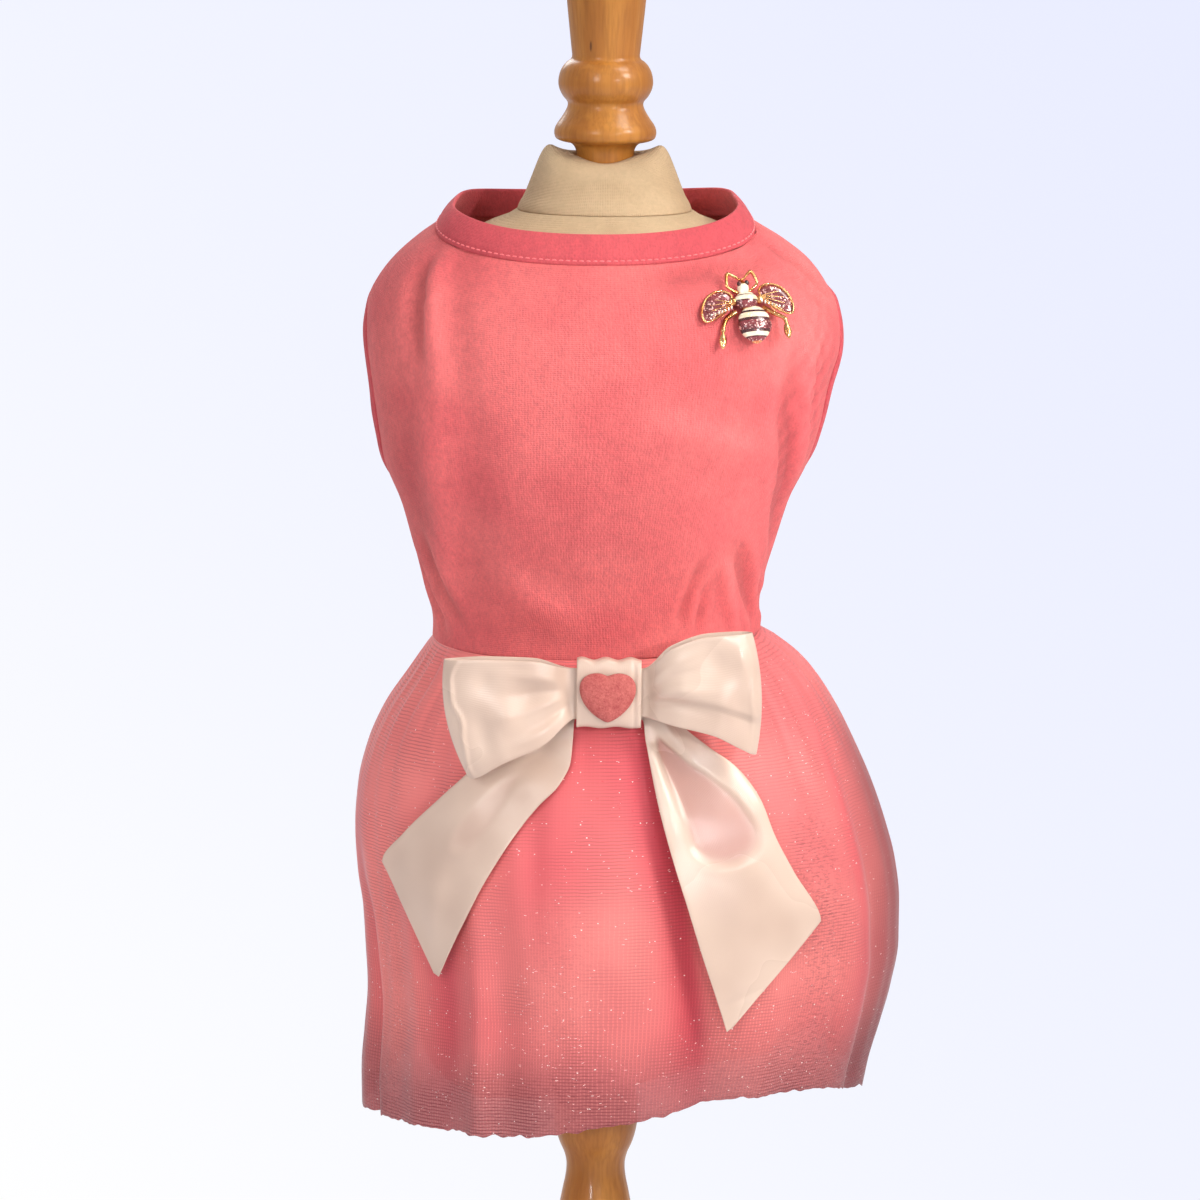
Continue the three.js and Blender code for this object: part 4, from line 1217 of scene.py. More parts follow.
def armBinding(side, name):
    grid = []
    for j in range(binding["rows"]):
        share = j / (binding["rows"] - 1)
        row = []
        inwards = lerp(binding["reach"], binding["innerReach"], share)
        halfAngle = bodice["armHalfAngle"] - binding["angle"] * inwards
        halfHeight = bodice["armHalfHeight"] - binding["height"] * inwards
        for i in range(binding["columns"]):
            turn = 2 * math.pi * i / binding["columns"]
            angle = dress["sideSeam"] + halfAngle * math.sin(turn)
            up = bodice["armMiddle"] - halfHeight * math.cos(turn)
            wave = binding["wave"] * math.sin(binding["waves"] * turn + side)
            wave += binding["smallWave"] * math.sin(binding["smallWaves"] * turn)
            out = binding["roll"] * math.sin(math.pi * share) + wave * share
            row.append(bodicePoint(side * angle, up, out))
        grid.append(row)
    return clothShell(
        name, grid, binding["wall"], bandJersey, binding["flat"], (name,),
        ring=True, rimSteps=6, wallAt=bindingWall,
    )


bindingLeft = armBinding(-1, "armhole_binding_left")
bindingRight = armBinding(1, "armhole_binding_right")
print("armholes bound")

# Skirt: gathered glitter net over a plain lining.
skirt = {
    "ventAtWaist": 140,
    "ventAtHem": 125,
    "gathers": 28,
    "gatherDepth": 1.2,
    "gatherPuff": 0.12,
    "gatherFade": 4.2,
    "gatherDrift": 1.9,
    "netTop": 0.1,
    "netCrowding": 1.15,
    "netWall": 0.32,
    "netColumns": 392,
    "netRows": 74,
    "netFall": 158,
    "netLift": 0.6,
    "fineDepth": 0.14,
    "fineCount": 2.37,
    "ragged": 0.9,
    "netFlat": (0.48, 0.17),
    "liningRows": 60,
    "liningColumns": 200,
    "liningWall": 0.4,
    "liningTop": 1.2,
    "liningInset": 2.3,
    "liningHang": 1.6,
    "liningShort": 13,
    "liningCorner": 22,
    "liningFlat": (0.3, 0.155),
    "liningArea": 0.036,
}
liningEdges = [(0, 138), (0.15, 116), (0.35, 96), (0.6, 78), (0.85, 64), (1, 54)]
liningEdge = curveOf(liningEdges, 1)
smallFolds = [  # angle at the hem, angle at the waist, width, depth, where it starts and ends
    (-64, -68, 2.4, -0.9, 0.2, 1.1), (-46, -50, 2.2, -0.7, 0.35, 1.1), (-31, -35, 1.8, -0.7, 0.15, 0.8),
    (-12, -14, 2.6, -0.8, 0.1, 0.75), (-4, -6, 2.2, 0.5, 0.45, 1.1), (8, 2, 2.4, -0.7, 0.2, 0.9),
    (30, 22, 2.2, -0.8, 0.1, 0.9), (36, 28, 1.9, 0.6, 0.3, 1.1), (53, 46, 2.4, -0.9, 0.1, 1.1),
    (61, 55, 2.0, -0.8, 0.05, 0.8), (80, 76, 2.4, -0.8, 0.2, 1.1), (88, 88, 2.2, 0.6, 0.3, 1.1),
    (-84, -90, 2.4, -0.8, 0.2, 1.1), (-106, -116, 2.4, -0.8, 0.2, 1.1), (106, 112, 2.4, -0.9, 0.2, 1.1),
]


def smallFold(angle, down):
    total, soft = 0, 0.3
    for hemAngle, waistAngle, width, depth, start, end in smallFolds:
        away = angle - lerp(waistAngle, hemAngle, down)
        if abs(away) < 3 * width:
            fade = smoothstep(down, start, start + soft) * (1 - smoothstep(down, end - soft, end))
            total += fade * depth * bell(away, width)
    return total


# painted shade in the net's fold troughs and the bow's shadow below the knot: angle at the hem, angle at the
# waist, spread to the left and right, strength, where it starts and ends
netFoldAndKnotShades = [
    (-37, -42, 9, 4.5, 0.8, 0.3, 1.5), (20, 6, 6.5, 3, 1.0, 0.02, 1.5), (62, 60, 4, 4, 0.5, 0.1, 1.5),
    (-74, -80, 6, 4, 0.5, 0.2, 1.5), (114, 124, 7, 7, 0.7, 0.1, 1.5), (-114, -128, 7, 7, 0.7, 0.1, 1.5),
    (-10, -8, 16, 16, 0.6, -0.2, 0.62), (-13, -12, 7, 9, 0.25, 0.3, 0.74),
]
netCrumples = [  # angle, spread, strength, from and to
    (47, 7, 0.9, 0.3, 1.2), (-8, 9, 0.35, 0.45, 1.2), (-62, 7, 0.4, 0.4, 1.2), (-98, 9, 0.5, 0.3, 1.2),
    (100, 9, 0.5, 0.3, 1.2),
]


def netFoldAndKnotShade(angle, down):
    # painted shade: how red and deep the net looks in the troughs of its folds and in the bow's shadow below
    # the knot
    total, fadeIn, fadeOut = 0, 0.3, 0.16
    for hemAngle, waistAngle, left, right, strength, start, end in netFoldAndKnotShades:
        away = angle - lerp(waistAngle, hemAngle, down)
        fade = smoothstep(down, start, start + fadeIn) * (1 - smoothstep(down, end - fadeOut, end))
        total += strength * bell(away, left if away < 0 else right) * fade
    return clamp(total)


def netCrumple(angle, down):
    # how much the net is crumpled: all round just above the hem, and in places above it
    total, soft = 0.5 * smoothstep(down, 0.84, 0.95), 0.2
    for middle, spread, strength, start, end in netCrumples:
        fade = smoothstep(down, start, start + soft) * (1 - smoothstep(down, end - soft, end))
        total += strength * bell(angle - middle, spread) * fade
    return clamp(total)


netSides = [(83, 15, 0.9, 0.05, 0.4), (-97, 11, 0.25, 0.2, 0.6)]  # angle, spread, strength, from and to
hemShade = {"all": 0.12, "right": 0.2, "angle": 62, "spread": 20, "from": 0.8, "to": 0.97}


def netSidesAndHemShade(angle, down):
    # painted shade on the outer sides, where the net turns from the light and also stands in many layers, and
    # on the single net at the hem
    sides = sum(strength * bell(angle - middle, spread) * smoothstep(down, start, end)
                for middle, spread, strength, start, end in netSides)
    hem = hemShade["all"] + hemShade["right"] * bell(angle - hemShade["angle"], hemShade["spread"])
    return clamp(sides + hem * smoothstep(down, hemShade["from"], hemShade["to"]))


def netPlace(share, down, lift=0.0):
    # share runs across the net and down from the waist seam to the hem
    half = lerp(skirt["ventAtWaist"], skirt["ventAtHem"], down)
    angle = lerp(-half, half, share)
    ragged = noise.noise(Vector((angle / 2.2, 0, 5))) + 0.8 * noise.noise(Vector((angle / 6, 2, 1)))
    hem = hemCurve(angle) + skirt["netLift"] + skirt["ragged"] * ragged
    z = lerp(waistZ(angle) - skirt["netTop"], hem, down ** skirt["netCrowding"])
    puff = smoothstep(down, 0, skirt["gatherPuff"]) * (1 - down) ** skirt["gatherFade"]
    waves = share * skirt["gathers"]
    uneven = 0.75 + 0.25 * math.sin(skirt["gatherDrift"] * waves)
    gather = puff * uneven * skirt["gatherDepth"] * math.sin(2 * math.pi * waves)
    fine = skirt["fineDepth"] * smoothstep(down, 0, 0.04) * (1 - smoothstep(down, 0.1, 0.5))
    gather += fine * math.sin(2 * math.pi * waves * skirt["fineCount"] + 1.3)
    return skirtPoint(angle, z, gather + smallFold(angle, down) + lift)


def makeNet():
    rows, columns = skirt["netRows"], skirt["netColumns"]
    grid = [[netPlace(i / columns, j / rows) for i in range(columns + 1)] for j in range(rows + 1)]

    def placeAt(j, i):
        half = lerp(skirt["ventAtWaist"], skirt["ventAtHem"], j / rows)
        fall = waistZ(lerp(-half, half, i / columns)) - grid[j][i].z
        return skirt["netFlat"][0] * i / columns, skirt["netFlat"][1] * fall / skirt["netFall"]

    piece = clothShell(
        "skirt_net", grid, skirt["netWall"], glitterNet, skirt["netFlat"],
        ("skirt_net",), rimSteps=2, placeAt=placeAt,
    )
    places = []
    for j in range(rows + 1):
        half = lerp(skirt["ventAtWaist"], skirt["ventAtHem"], j / rows)
        places += [(lerp(-half, half, i / columns), j / rows) for i in range(columns + 1)]
    for label, valueAt in (("fold", netFoldAndKnotShade), ("crumple", netCrumple), ("dusk", netSidesAndHemShade)):
        paintPoints(piece, label, [valueAt(*place) for place in places])
    return piece


def liningWall(_, down):
    return 1 + 0.9 * smoothstep(down, 0.955, 0.965)  # the turned hem is nearly twice as thick


def makeLining():
    rows, columns = skirt["liningRows"], skirt["liningColumns"]
    grid = []
    for j in range(rows + 1):
        down = j / rows
        row = []
        for i in range(columns + 1):
            share = 2 * i / columns - 1
            angle = share * liningEdge(down)
            hem = hemCurve(angle) + skirt["liningShort"] + skirt["liningCorner"] * abs(share) ** 6
            z = lerp(waistZ(angle) - skirt["liningTop"], hem, down)
            inset = skirt["liningInset"] + skirt["liningHang"] * smoothstep(down, 0, skirt["gatherPuff"])
            netDown = clamp((waistZ(angle) - z) / (waistZ(angle) - hemCurve(angle)))
            row.append(skirtPoint(angle, z, smallFold(angle, netDown) - inset))
        grid.append(row)
    return clothShell("skirt_lining", grid, skirt["liningWall"], liningCloth,
                      skirt["liningFlat"], ("skirt_lining",), rimSteps=2, wallAt=liningWall)


net = makeNet()
lining = makeLining()
print("skirt gathered")

# Glitter: short flat flakes on the net, most of them on the folds that face the light, glowing a little as
# painted glints.
sparks = {
    "count": 120,
    "seed": 7,
    "down": (0.06, 0.985),
    "edge": 0.01,
    "waist": 0.05,
    "tilt": 0.12,
    "roll": 0.35,
    "length": (0.4, 1.2),
    "width": 0.11,
    "thick": 0.05,
    "lift": 0.34,
    "clusters": [  # share across, down, spread across, spread down, count
        (0.525, 0.5, 0.012, 0.03, 16), (0.475, 0.8, 0.02, 0.09, 70), (0.43, 0.7, 0.012, 0.15, 26),
        (0.7, 0.3, 0.012, 0.12, 34), (0.735, 0.36, 0.012, 0.1, 30), (0.66, 0.66, 0.012, 0.14, 30),
        (0.5, 0.93, 0.03, 0.03, 40), (0.36, 0.9, 0.04, 0.05, 26), (0.6, 0.9, 0.04, 0.05, 26),
        (0.3, 0.6, 0.04, 0.2, 14), (0.12, 0.6, 0.06, 0.25, 30), (0.9, 0.6, 0.06, 0.25, 30),
    ],
}


def makeGlitter(look):
    draw = random.Random(look["seed"])
    places = [(draw.random(), draw.uniform(*look["down"])) for _ in range(look["count"])]
    for share, down, wide, tall, count in look["clusters"]:
        places += [(draw.gauss(share, wide), draw.gauss(down, tall)) for _ in range(count)]
    points, faces = [], []
    box = [[0, 1, 3, 2], [4, 6, 7, 5], [0, 4, 5, 1], [2, 3, 7, 6], [0, 2, 6, 4], [1, 5, 7, 3]]
    for share, down in places:
        length = draw.uniform(*look["length"]) * draw.uniform(0.5, 1)
        tilt, roll = draw.gauss(0, look["tilt"]), draw.gauss(0, look["roll"])
        if not (look["edge"] < share < 1 - look["edge"] and look["waist"] < down < look["down"][1]):
            continue
        middle = netPlace(share, down, look["lift"])
        along = (netPlace(share + 0.001, down, look["lift"]) - middle).normalized()
        below = (netPlace(share, down + 0.004, look["lift"]) - middle).normalized()
        out = below.cross(along).normalized()
        side = (along + below * tilt).normalized()
        rise = (out.cross(side) * math.cos(roll) + out * math.sin(roll)).normalized()
        face = side.cross(rise)
        start = len(points)
        for a in (-1, 1):
            for b in (-1, 1):
                for c in (-1, 1):
                    corner = side * a * length + rise * b * look["width"] + face * c * look["thick"]
                    points.append((middle + corner / 2) * mm)
        faces += [[index + start for index in corners] for corners in box]
    return addPiece("net_glitter", points, faces, glitter)


netGlitter = makeGlitter(sparks)
print("glitter scattered")

# Bow.
bow = {
    "knotDepth": 64,
    "wall": 0.32,
    "bandWall": 0.6,
    "layer": 1.9,
    "clearance": 2.6,
    "hangRows": 3,
    "fallBack": 3.2,
    "pleats": 3,
    "pleatDepth": 0.3,
    "knotReach": 0.22,
    "kick": 1.8,
    "left": -7.6, "right": 13.6, "top": 330.6, "bottom": 308,
    "loopFlat": (0.098, 0.038),
    "tailFlat": (0.125, 0.04),
    "tailArea": 0.0041,
    "bandFlat": (0.068, 0.0212),
}
loopPath = [  # step, share of the way to the folded end, depth in front of the tails
    (0, 0, 3.8), (1, 0.21, 3.9), (2, 0.32, 7.4), (3, 0.5, 10), (4, 0.72, 10.4), (5, 0.88, 8.8),
    (6, 0.97, 6.6), (7, 1, 4.6), (8, 0.97, 2.7), (9, 0.86, 1.7), (10, 0.66, 1.6), (11, 0.4, 1.7),
    (12, 0.2, 1.9), (13, 0, 1.9),
]
reachCurve, depthCurve = curveOf(loopPath, 1), curveOf(loopPath, 2)
loop = {
    "columns": 104, "rows": 30, "foldOver": (5.5, 8), "freeOver": (0.23, 0.36), "pleatsOver": (0.3, 0.78),
    "fan": 0.55, "fanGrowth": 0.9, "waviness": 0.015, "laidSoft": (0.02, 0.03), "laidFall": 0.6,
}
leftLoop = {
    "inner": 1.9, "topX": -52.3, "bottomX": -43.8, "bulge": -3.4, "frontLift": (0.0, 0.0),
    "laid": (0.1, 0.1, 0.0),
    "edges": [
        (0, 327.2, 311.4), (0.22, 327.6, 311), (0.45, 330.8, 303), (0.75, 331.2, 296.6), (1, 330.6, 290.8),
    ],
    # soft dents and swells: reach, up, spread of each, depth
    "dents": [(0.48, 0.6, 0.09, 0.17, -1.7), (0.63, 0.42, 0.07, 0.14, 1.3), (0.36, 0.86, 0.12, 0.12, 0.8),
              (0.75, 0.78, 0.07, 0.16, -1.1), (0.8, 0.3, 0.06, 0.2, -1.0), (0.5, 0.14, 0.16, 0.08, 0.9)],
    "pleats": [(0.2, 0.06, -0.9), (0.42, 0.05, 0.8), (0.62, 0.06, -0.9), (0.82, 0.05, 0.6)],
    "crinkle": {"reach": 0.935, "sway": 0.022, "height": 1.2, "width": 0.014},
}
rightLoop = {
    "inner": 4.2, "topX": 50.8, "bottomX": 52.6, "bulge": 2.4, "frontLift": (0.8, 0.8),
    "laid": (0.38, 0.27, 1.5),
    "edges": [
        (0, 327.2, 311.4), (0.22, 327.6, 311), (0.42, 335.4, 309), (0.7, 339.8, 306), (1, 340.6, 299.8),
    ],
    "dents": [
        (0.72, 0.72, 0.1, 0.18, -1.5), (0.5, 0.45, 0.09, 0.12, 1.1), (0.86, 0.35, 0.07, 0.16, -0.9),
        (0.9, 0.8, 0.05, 0.14, 0.8),
    ],
    "pleats": [(0.25, 0.05, -0.8), (0.45, 0.05, 0.9), (0.66, 0.05, -0.8), (0.84, 0.05, 0.7)],
    "crinkle": {"reach": 0.95, "sway": 0.01, "height": 0.5, "width": 0.02},
}


def bowLoop(name, shape):
    topCurve, bottomCurve = curveOf(shape["edges"], 1), curveOf(shape["edges"], 2)
    columns, rows, crinkle = loop["columns"], loop["rows"], shape["crinkle"]
    laidFirst, laidLast, laidHeight = shape["laid"]
    softBefore, softAfter = loop["laidSoft"]
    grid = []
    for j in range(rows + 1):
        up = j / rows
        row = []
        for i in range(columns + 1):
            step = loopPath[-1][0] * i / columns
            reach, depth = reachCurve(step), depthCurve(step)
            isFront = 1 - smoothstep(step, *loop["foldOver"])
            top, bottom = topCurve(reach), bottomCurve(reach)
            bottom += lerp(*shape["frontLift"], reach) * isFront * (1 - smoothstep(reach, 0.9, 1))
            end = lerp(shape["bottomX"], shape["topX"], up) + shape["bulge"] * 4 * up * (1 - up)
            pleat = bow["pleatDepth"] * (1 - reach) * math.cos(math.pi * bow["pleats"] * up)
            free = smoothstep(reach, *loop["freeOver"])
            for place, spread, height in shape["pleats"]:
                fan = lerp(0.5, place, loop["fan"] + loop["fanGrowth"] * reach)
                fade = 1 - smoothstep(reach, *loop["pleatsOver"])
                pleat += height * free * fade * bell(up - fan, spread) * isFront
            for far, high, wide, tall, height in shape["dents"]:
                pleat += height * free * bell(reach - far, wide) * bell(up - high, tall) * isFront
            line = crinkle["reach"] + crinkle["sway"] * math.sin(9.5 * up + 0.6)
            line += 0.3 * crinkle["sway"] * math.sin(23 * up)
            pleat += crinkle["height"] * bell(reach - line, crinkle["width"]) * isFront * bell(up - 0.5, 0.5)
            laidAt = lerp(laidFirst, laidLast, reach) + loop["waviness"] * math.sin(7 * reach)
            laid = smoothstep(up, laidAt - softBefore, laidAt + softAfter)
            laid -= loop["laidFall"] * smoothstep(up, laidAt, 1)
            pleat += laidHeight * laid * isFront * free
            kick = bow["kick"] * (1 - up) * min(1, 2 * max(0, reach - bow["knotReach"]))
            out = bow["knotDepth"] + depth + pleat + kick
            row.append(Vector((lerp(shape["inner"], end, reach), -out, lerp(bottom, top, up))))
        grid.append(row)
    return clothShell(name, grid, bow["wall"], satin, bow["loopFlat"], (name,))


tailLeft = [  # step, outer x and height, inner x and height
    (0, -1, 327.4, 0, 310.6), (1, -9, 325.6, -8.4, 310), (2, -15, 320, -9, 303.6), (3, -24, 311, -9.8, 296),
    (4, -34, 301, -13.6, 288.6), (5, -44, 291, -20.6, 281.4), (6, -54.4, 281, -27.6, 272.6),
    (7, -66, 268.6, -34.2, 262.6), (8, -73.4, 257.6, -40.8, 251), (9, -66.8, 244.8, -47.4, 237),
    (10, -60.2, 232.2, -51, 228.6), (11, -55.2, 222.8, -53.6, 222),
]
tailRight = [
    (0, 6.4, 327.4, 5.6, 310.6), (1, 15, 325.4, 14.4, 310), (2, 20.6, 317.4, 15.4, 304),
    (3, 26.6, 309, 16.6, 298.2), (4, 36, 301, 18.2, 290.4), (5, 46.4, 293.4, 20.2, 281.6),
    (6, 54.2, 283.2, 22.8, 272), (7, 59.6, 270.2, 26.2, 260.8), (8, 66, 258.2, 30, 249.2),
    (9, 75.4, 241, 35.6, 231.4), (10, 64.8, 229, 39.6, 219.6), (11, 54.4, 217.6, 42.2, 211.6),
    (12, 45.4, 207.4, 43.8, 206.4),
]
# Soft shapes in the tails: step, share across, spread of each, depth (towards the viewer is positive).
leftSwells = [
    (3.4, 0.5, 0.5, 0.16, -1.3), (4.4, 0.3, 0.7, 0.22, 1.5), (6.0, 0.65, 0.9, 0.25, 1.1),
    (7.3, 0.3, 0.8, 0.2, -0.7), (8.6, 0.45, 0.9, 0.14, 0.9), (3.2, 0.75, 0.6, 0.2, -0.8),
    (9.8, 0.6, 0.5, 0.3, -0.4),
]
rightSwells = [
    (3.4, 0.72, 0.6, 0.14, 1.6), (4.6, 0.1, 1.8, 0.09, 1.4), (5.6, 0.9, 1.3, 0.1, 0.9),
    (8.0, 0.72, 0.7, 0.2, -0.5), (8.9, 0.4, 1.2, 0.3, 0.6), (10.7, 0.5, 0.16, 0.5, -0.5),
    (3.5, 0.4, 0.3, 0.1, -1.0),
]
# A hollow in each tail that lies on the skirt: steps, shares and half widths at its two ends, its depth, and
# how much painted shade darkens it (red).
leftHollow = {"steps": (4.9, 7.0), "shares": (0.5, 0.42), "halves": (0.12, 0.2), "depth": 0.3, "red": 0.14}
rightHollow = {"steps": (3.2, 7.3), "shares": (0.36, 0.58), "halves": (0.15, 0.4), "depth": 2.2, "red": 0.9}
cutCorner = {"left": 8, "right": 9}
tail = {
    "columns": 96, "rows": 26, "cutSoft": 0.15, "blend": 1.2, "blendOver": 2.5, "freeFrom": 1.6, "freeTo": 3,
    "rimStep": 0.25, "rim": 0.9, "sink": 0.9, "ripple": 0.45, "rippleEnd": 6, "curl": 0.25,
}


def hollowShare(step, share, hollow):
    # 1 inside the hollow, with a rounded end and a soft edge
    first, last = hollow["steps"]
    t = clamp((step - first) / (last - first))
    sideways = abs(share - lerp(*hollow["shares"], t)) / lerp(*hollow["halves"], t)
    beyond = max(0.0, step - last + 0.9, first + 0.5 - step)
    return 1 - smoothstep(math.hypot(sideways, beyond), 0.6, 1.12)


def bowTail(name, edges, swells, corner, hollow):
    curves = [curveOf(edges, column) for column in range(1, 5)]
    last = edges[-1][0]
    columns, rows = tail["columns"], tail["rows"]
    steps = [last * k / columns for k in range(columns + 1)]
    steps = sorted([step for step in steps if abs(step - corner) > 0.05] + [corner])
    grid = [[] for _ in range(rows + 1)]
    for step in steps:
        below = int(clamp(math.floor(step), 0, last - 1))
        # the slanting cut beyond the corner is straight, the rest is curved
        straight = smoothstep(step, corner - tail["cutSoft"], corner + tail["cutSoft"])
        t = step - below
        ends = [lerp(curve(step), lerp(edges[below][k + 1], edges[below + 1][k + 1], t), straight)
                for k, curve in enumerate(curves)]
        outerX, outerZ, innerX, innerZ = ends
        for j in range(rows + 1):
            share = j / rows
            x, z = lerp(innerX, outerX, share), lerp(innerZ, outerZ, share)
            hanging = bow["knotDepth"] - bow["fallBack"] * max(0, step - bow["hangRows"])
            resting = skirtFront(x, z) + bow["clearance"]
            depth = max(hanging, resting) + tail["blend"] * bell(hanging - resting, tail["blendOver"])
            free = smoothstep(step, tail["freeFrom"], tail["freeTo"])
            for far, high, wide, tall, height in swells:
                depth += height * free * bell(step - far, wide) * bell(share - high, tall)
            inside = hollowShare(step, share, hollow)
            depth -= hollow["depth"] * inside
            depth += tail["rim"] * clamp(hollowShare(step - tail["rimStep"], share, hollow) - inside)
            depth = max(depth, resting - tail["sink"])
            ripple = tail["ripple"] * free * (1 - smoothstep(step, tail["freeTo"], tail["rippleEnd"]))
            depth += ripple * math.cos(3 * math.pi * share)
            depth += tail["curl"] * free * abs(2 * share - 1) ** 6
            grid[j].append(Vector((x, -depth, z)))
    piece = clothShell(name, grid[::-1], bow["wall"], satin, bow["tailFlat"], (name,))
    shares = [1 - j / rows for j in range(rows + 1)]
    # painted shade and painted reflection in each hollow, a pinkish grey, set on the points
    lying = [hollow["red"] * hollowShare(step, share, hollow) for share in shares for step in steps]
    paintPoints(piece, "lying", lying)
    return piece


knot = {
    "rows": 33, "columns": 96, "square": 0.45, "layers": 3, "pleat": 0.5, "pleats": 5.2, "lowPleat": 0.28,
    "lowPleats": 4, "lap": 0.5, "lapAt": 0.9, "lapWidth": 0.02,
}


def bowBand():
    # the narrow band round the knot, softly pleated, with its end lapped at the right
    back = bow["knotDepth"] - bow["layer"]
    front = bow["knotDepth"] + knot["layers"] * bow["layer"]
    grid = []
    for j in range(knot["rows"]):
        share = j / (knot["rows"] - 1)
        x = lerp(bow["left"], bow["right"], share)
        row = []
        for i in range(knot["columns"]):
            turn = 2 * math.pi * i / knot["columns"]
            soft = [math.copysign(abs(v) ** knot["square"], v) for v in (math.cos(turn), math.sin(turn))]
            high = (1 + soft[1]) / 2
            pleat = knot["pleat"] * smoothstep(high, 0.7, 1)
            pleat *= math.sin(knot["pleats"] * math.pi * share + 0.5)
            low = knot["lowPleat"] * smoothstep(1 - high, 0.8, 1)
            pleat += low * math.sin(knot["lowPleats"] * math.pi * share)
            dip = -knot["lap"] * bell(share - knot["lapAt"], knot["lapWidth"])
            y = back + (front - back) / 2 * (1 + soft[0]) + (dip if soft[0] > 0 else 0)
            z = bow["bottom"] + (bow["top"] - bow["bottom"]) * high + pleat
            row.append(Vector((x, -y, z)))
        grid.append(row)
    return clothShell(
        "bow_band", grid, bow["bandWall"], satin, bow["bandFlat"], ("bow_band",), ring=True,
    )


loopLeftPiece = bowLoop("bow_loop_left", leftLoop)
loopRightPiece = bowLoop("bow_loop_right", rightLoop)
tailLeftPiece = bowTail("bow_tail_left", tailLeft, leftSwells, cutCorner["left"], leftHollow)
tailRightPiece = bowTail("bow_tail_right", tailRight, rightSwells, cutCorner["right"], rightHollow)
bandPiece = bowBand()
print("bow tied")

# Heart: a padded disc of flock.
heart = {
    "x": 2.6, "z": 318.4, "width": 19.4, "height": 16.8, "thick": 3.4, "back": 70.45,
    "inset": 0.96, "smallest": 0.06, "dome": 0.8, "swell": 0.12, "rows": 14, "outlineSteps": 20,
    "hairs": 2600, "hair": 0.55, "hairWidth": 0.045, "hairSunk": 0.05, "lean": 0.35, "seed": 3,
}


def heartOutline(count):
    halfWidth, height = heart["width"] / 2, heart["height"] - 0.6
    arcs = [
        [(0, -0.53), (-0.46, -0.43), (-1, -0.12), (-1, 0.2)],
        [(-1, 0.2), (-1, 0.54), (-0.34, 0.6), (0, 0.46)],
        [(0, 0.46), (0.34, 0.6), (1, 0.54), (1, 0.2)],
        [(1, 0.2), (1, -0.12), (0.46, -0.43), (0, -0.53)],
    ]
    outline = []
    for arc in arcs:
        for k in range(count):
            t = k / count
            weights = [(1 - t) ** 3, 3 * t * (1 - t) ** 2, 3 * t * t * (1 - t), t ** 3]
            x, y = (sum(w * p[axis] for w, p in zip(weights, arc)) for axis in (0, 1))
            outline.append(Vector((x * halfWidth, y * height)))
    for _ in range(2):  # rounds the notch and the point
        after = outline[1:] + outline[:1]
        outline = [(outline[k - 1] + here * 2 + after[k]) / 4 for k, here in enumerate(outline)]
    return outline


def makeHeart():
    outline, rows = heartOutline(heart["outlineSteps"]), heart["rows"]
    centre = Vector((0, 0.5))
    levels = [(1.0, 0.0), (1.02, 0.25)]
    turns = [math.pi / 2 * k / rows for k in range(1, rows)]
    levels += [(math.cos(t), 0.25 + 0.75 * math.sin(t)) for t in turns]
    rings = []
    for size, height in levels:
        ring = []
        for point in outline:
            flat = centre + (point - centre) * max(size, heart["smallest"]) * heart["inset"]
            swell = heart["swell"] * noise.noise(Vector((flat.x / 3, flat.y / 3, 2)))
            out = heart["back"] + heart["thick"] * (height ** heart["dome"]) + swell * height
            ring.append(Vector((heart["x"] + flat.x, -out, heart["z"] + flat.y)) * mm)
        rings.append(ring)
    points, faces, faceUvs = ringSolid(rings)
    return addPiece("heart", points, faces, flock, ("heart",), faceUvs)


def makeHeartPile(piece):
    # short stiff fibres over the front of the flock
    draw = random.Random(heart["seed"])
    mesh = piece.data
    front = [p for p in mesh.polygons if p.normal.y < 0.75 and len(p.vertices) == 4]
    points, faces = [], []
    for polygon in draw.choices(front, weights=[p.area for p in front], k=heart["hairs"]):
        corners = [mesh.vertices[index].co for index in polygon.vertices]
        a, b = draw.random(), draw.random()
        foot = corners[0].lerp(corners[1], a).lerp(corners[3].lerp(corners[2], a), b)
        lean = Vector([draw.gauss(0, heart["lean"]) for _ in range(3)])
        tip = foot + (polygon.normal + lean).normalized() * heart["hair"] * draw.uniform(0.6, 1) * mm
        side = polygon.normal.orthogonal().normalized() * heart["hairWidth"] * mm
        other = polygon.normal.cross(side)
        start = len(points)
        sunk = foot - polygon.normal * heart["hairSunk"] * mm
        points += [sunk + side, sunk - side / 2 + other * 0.87, sunk - side / 2 - other * 0.87, tip]
        faces += [[start + 2, start + 1, start], [start, start + 1, start + 3],
                  [start + 1, start + 2, start + 3], [start + 2, start, start + 3]]
    return addPiece("heart_pile", points, faces, flock)


heartPiece = makeHeart()
makeHeartPile(heartPiece)
print("heart padded")

# Bee brooch: modelled flat in millimetres, x to its right, y towards its head, z out of the cloth.
bee = {"angle": 35.4, "up": 0.868, "yaw": 17, "tip": 26, "roll": -5, "lift": 1.1}
beeTurn = (
    Matrix.Rotation(math.radians(bee["yaw"]), 4, "Z")
    @ Matrix.Rotation(math.radians(90 - bee["tip"]), 4, "X")
    @ Matrix.Rotation(math.radians(bee["roll"]), 4, "Y")
)
beeMiddle = bodicePoint(bee["angle"], bee["up"]) + beeTurn @ Vector((0, 0, bee["lift"]))
beePlace = Matrix.Translation(beeMiddle) @ beeTurn


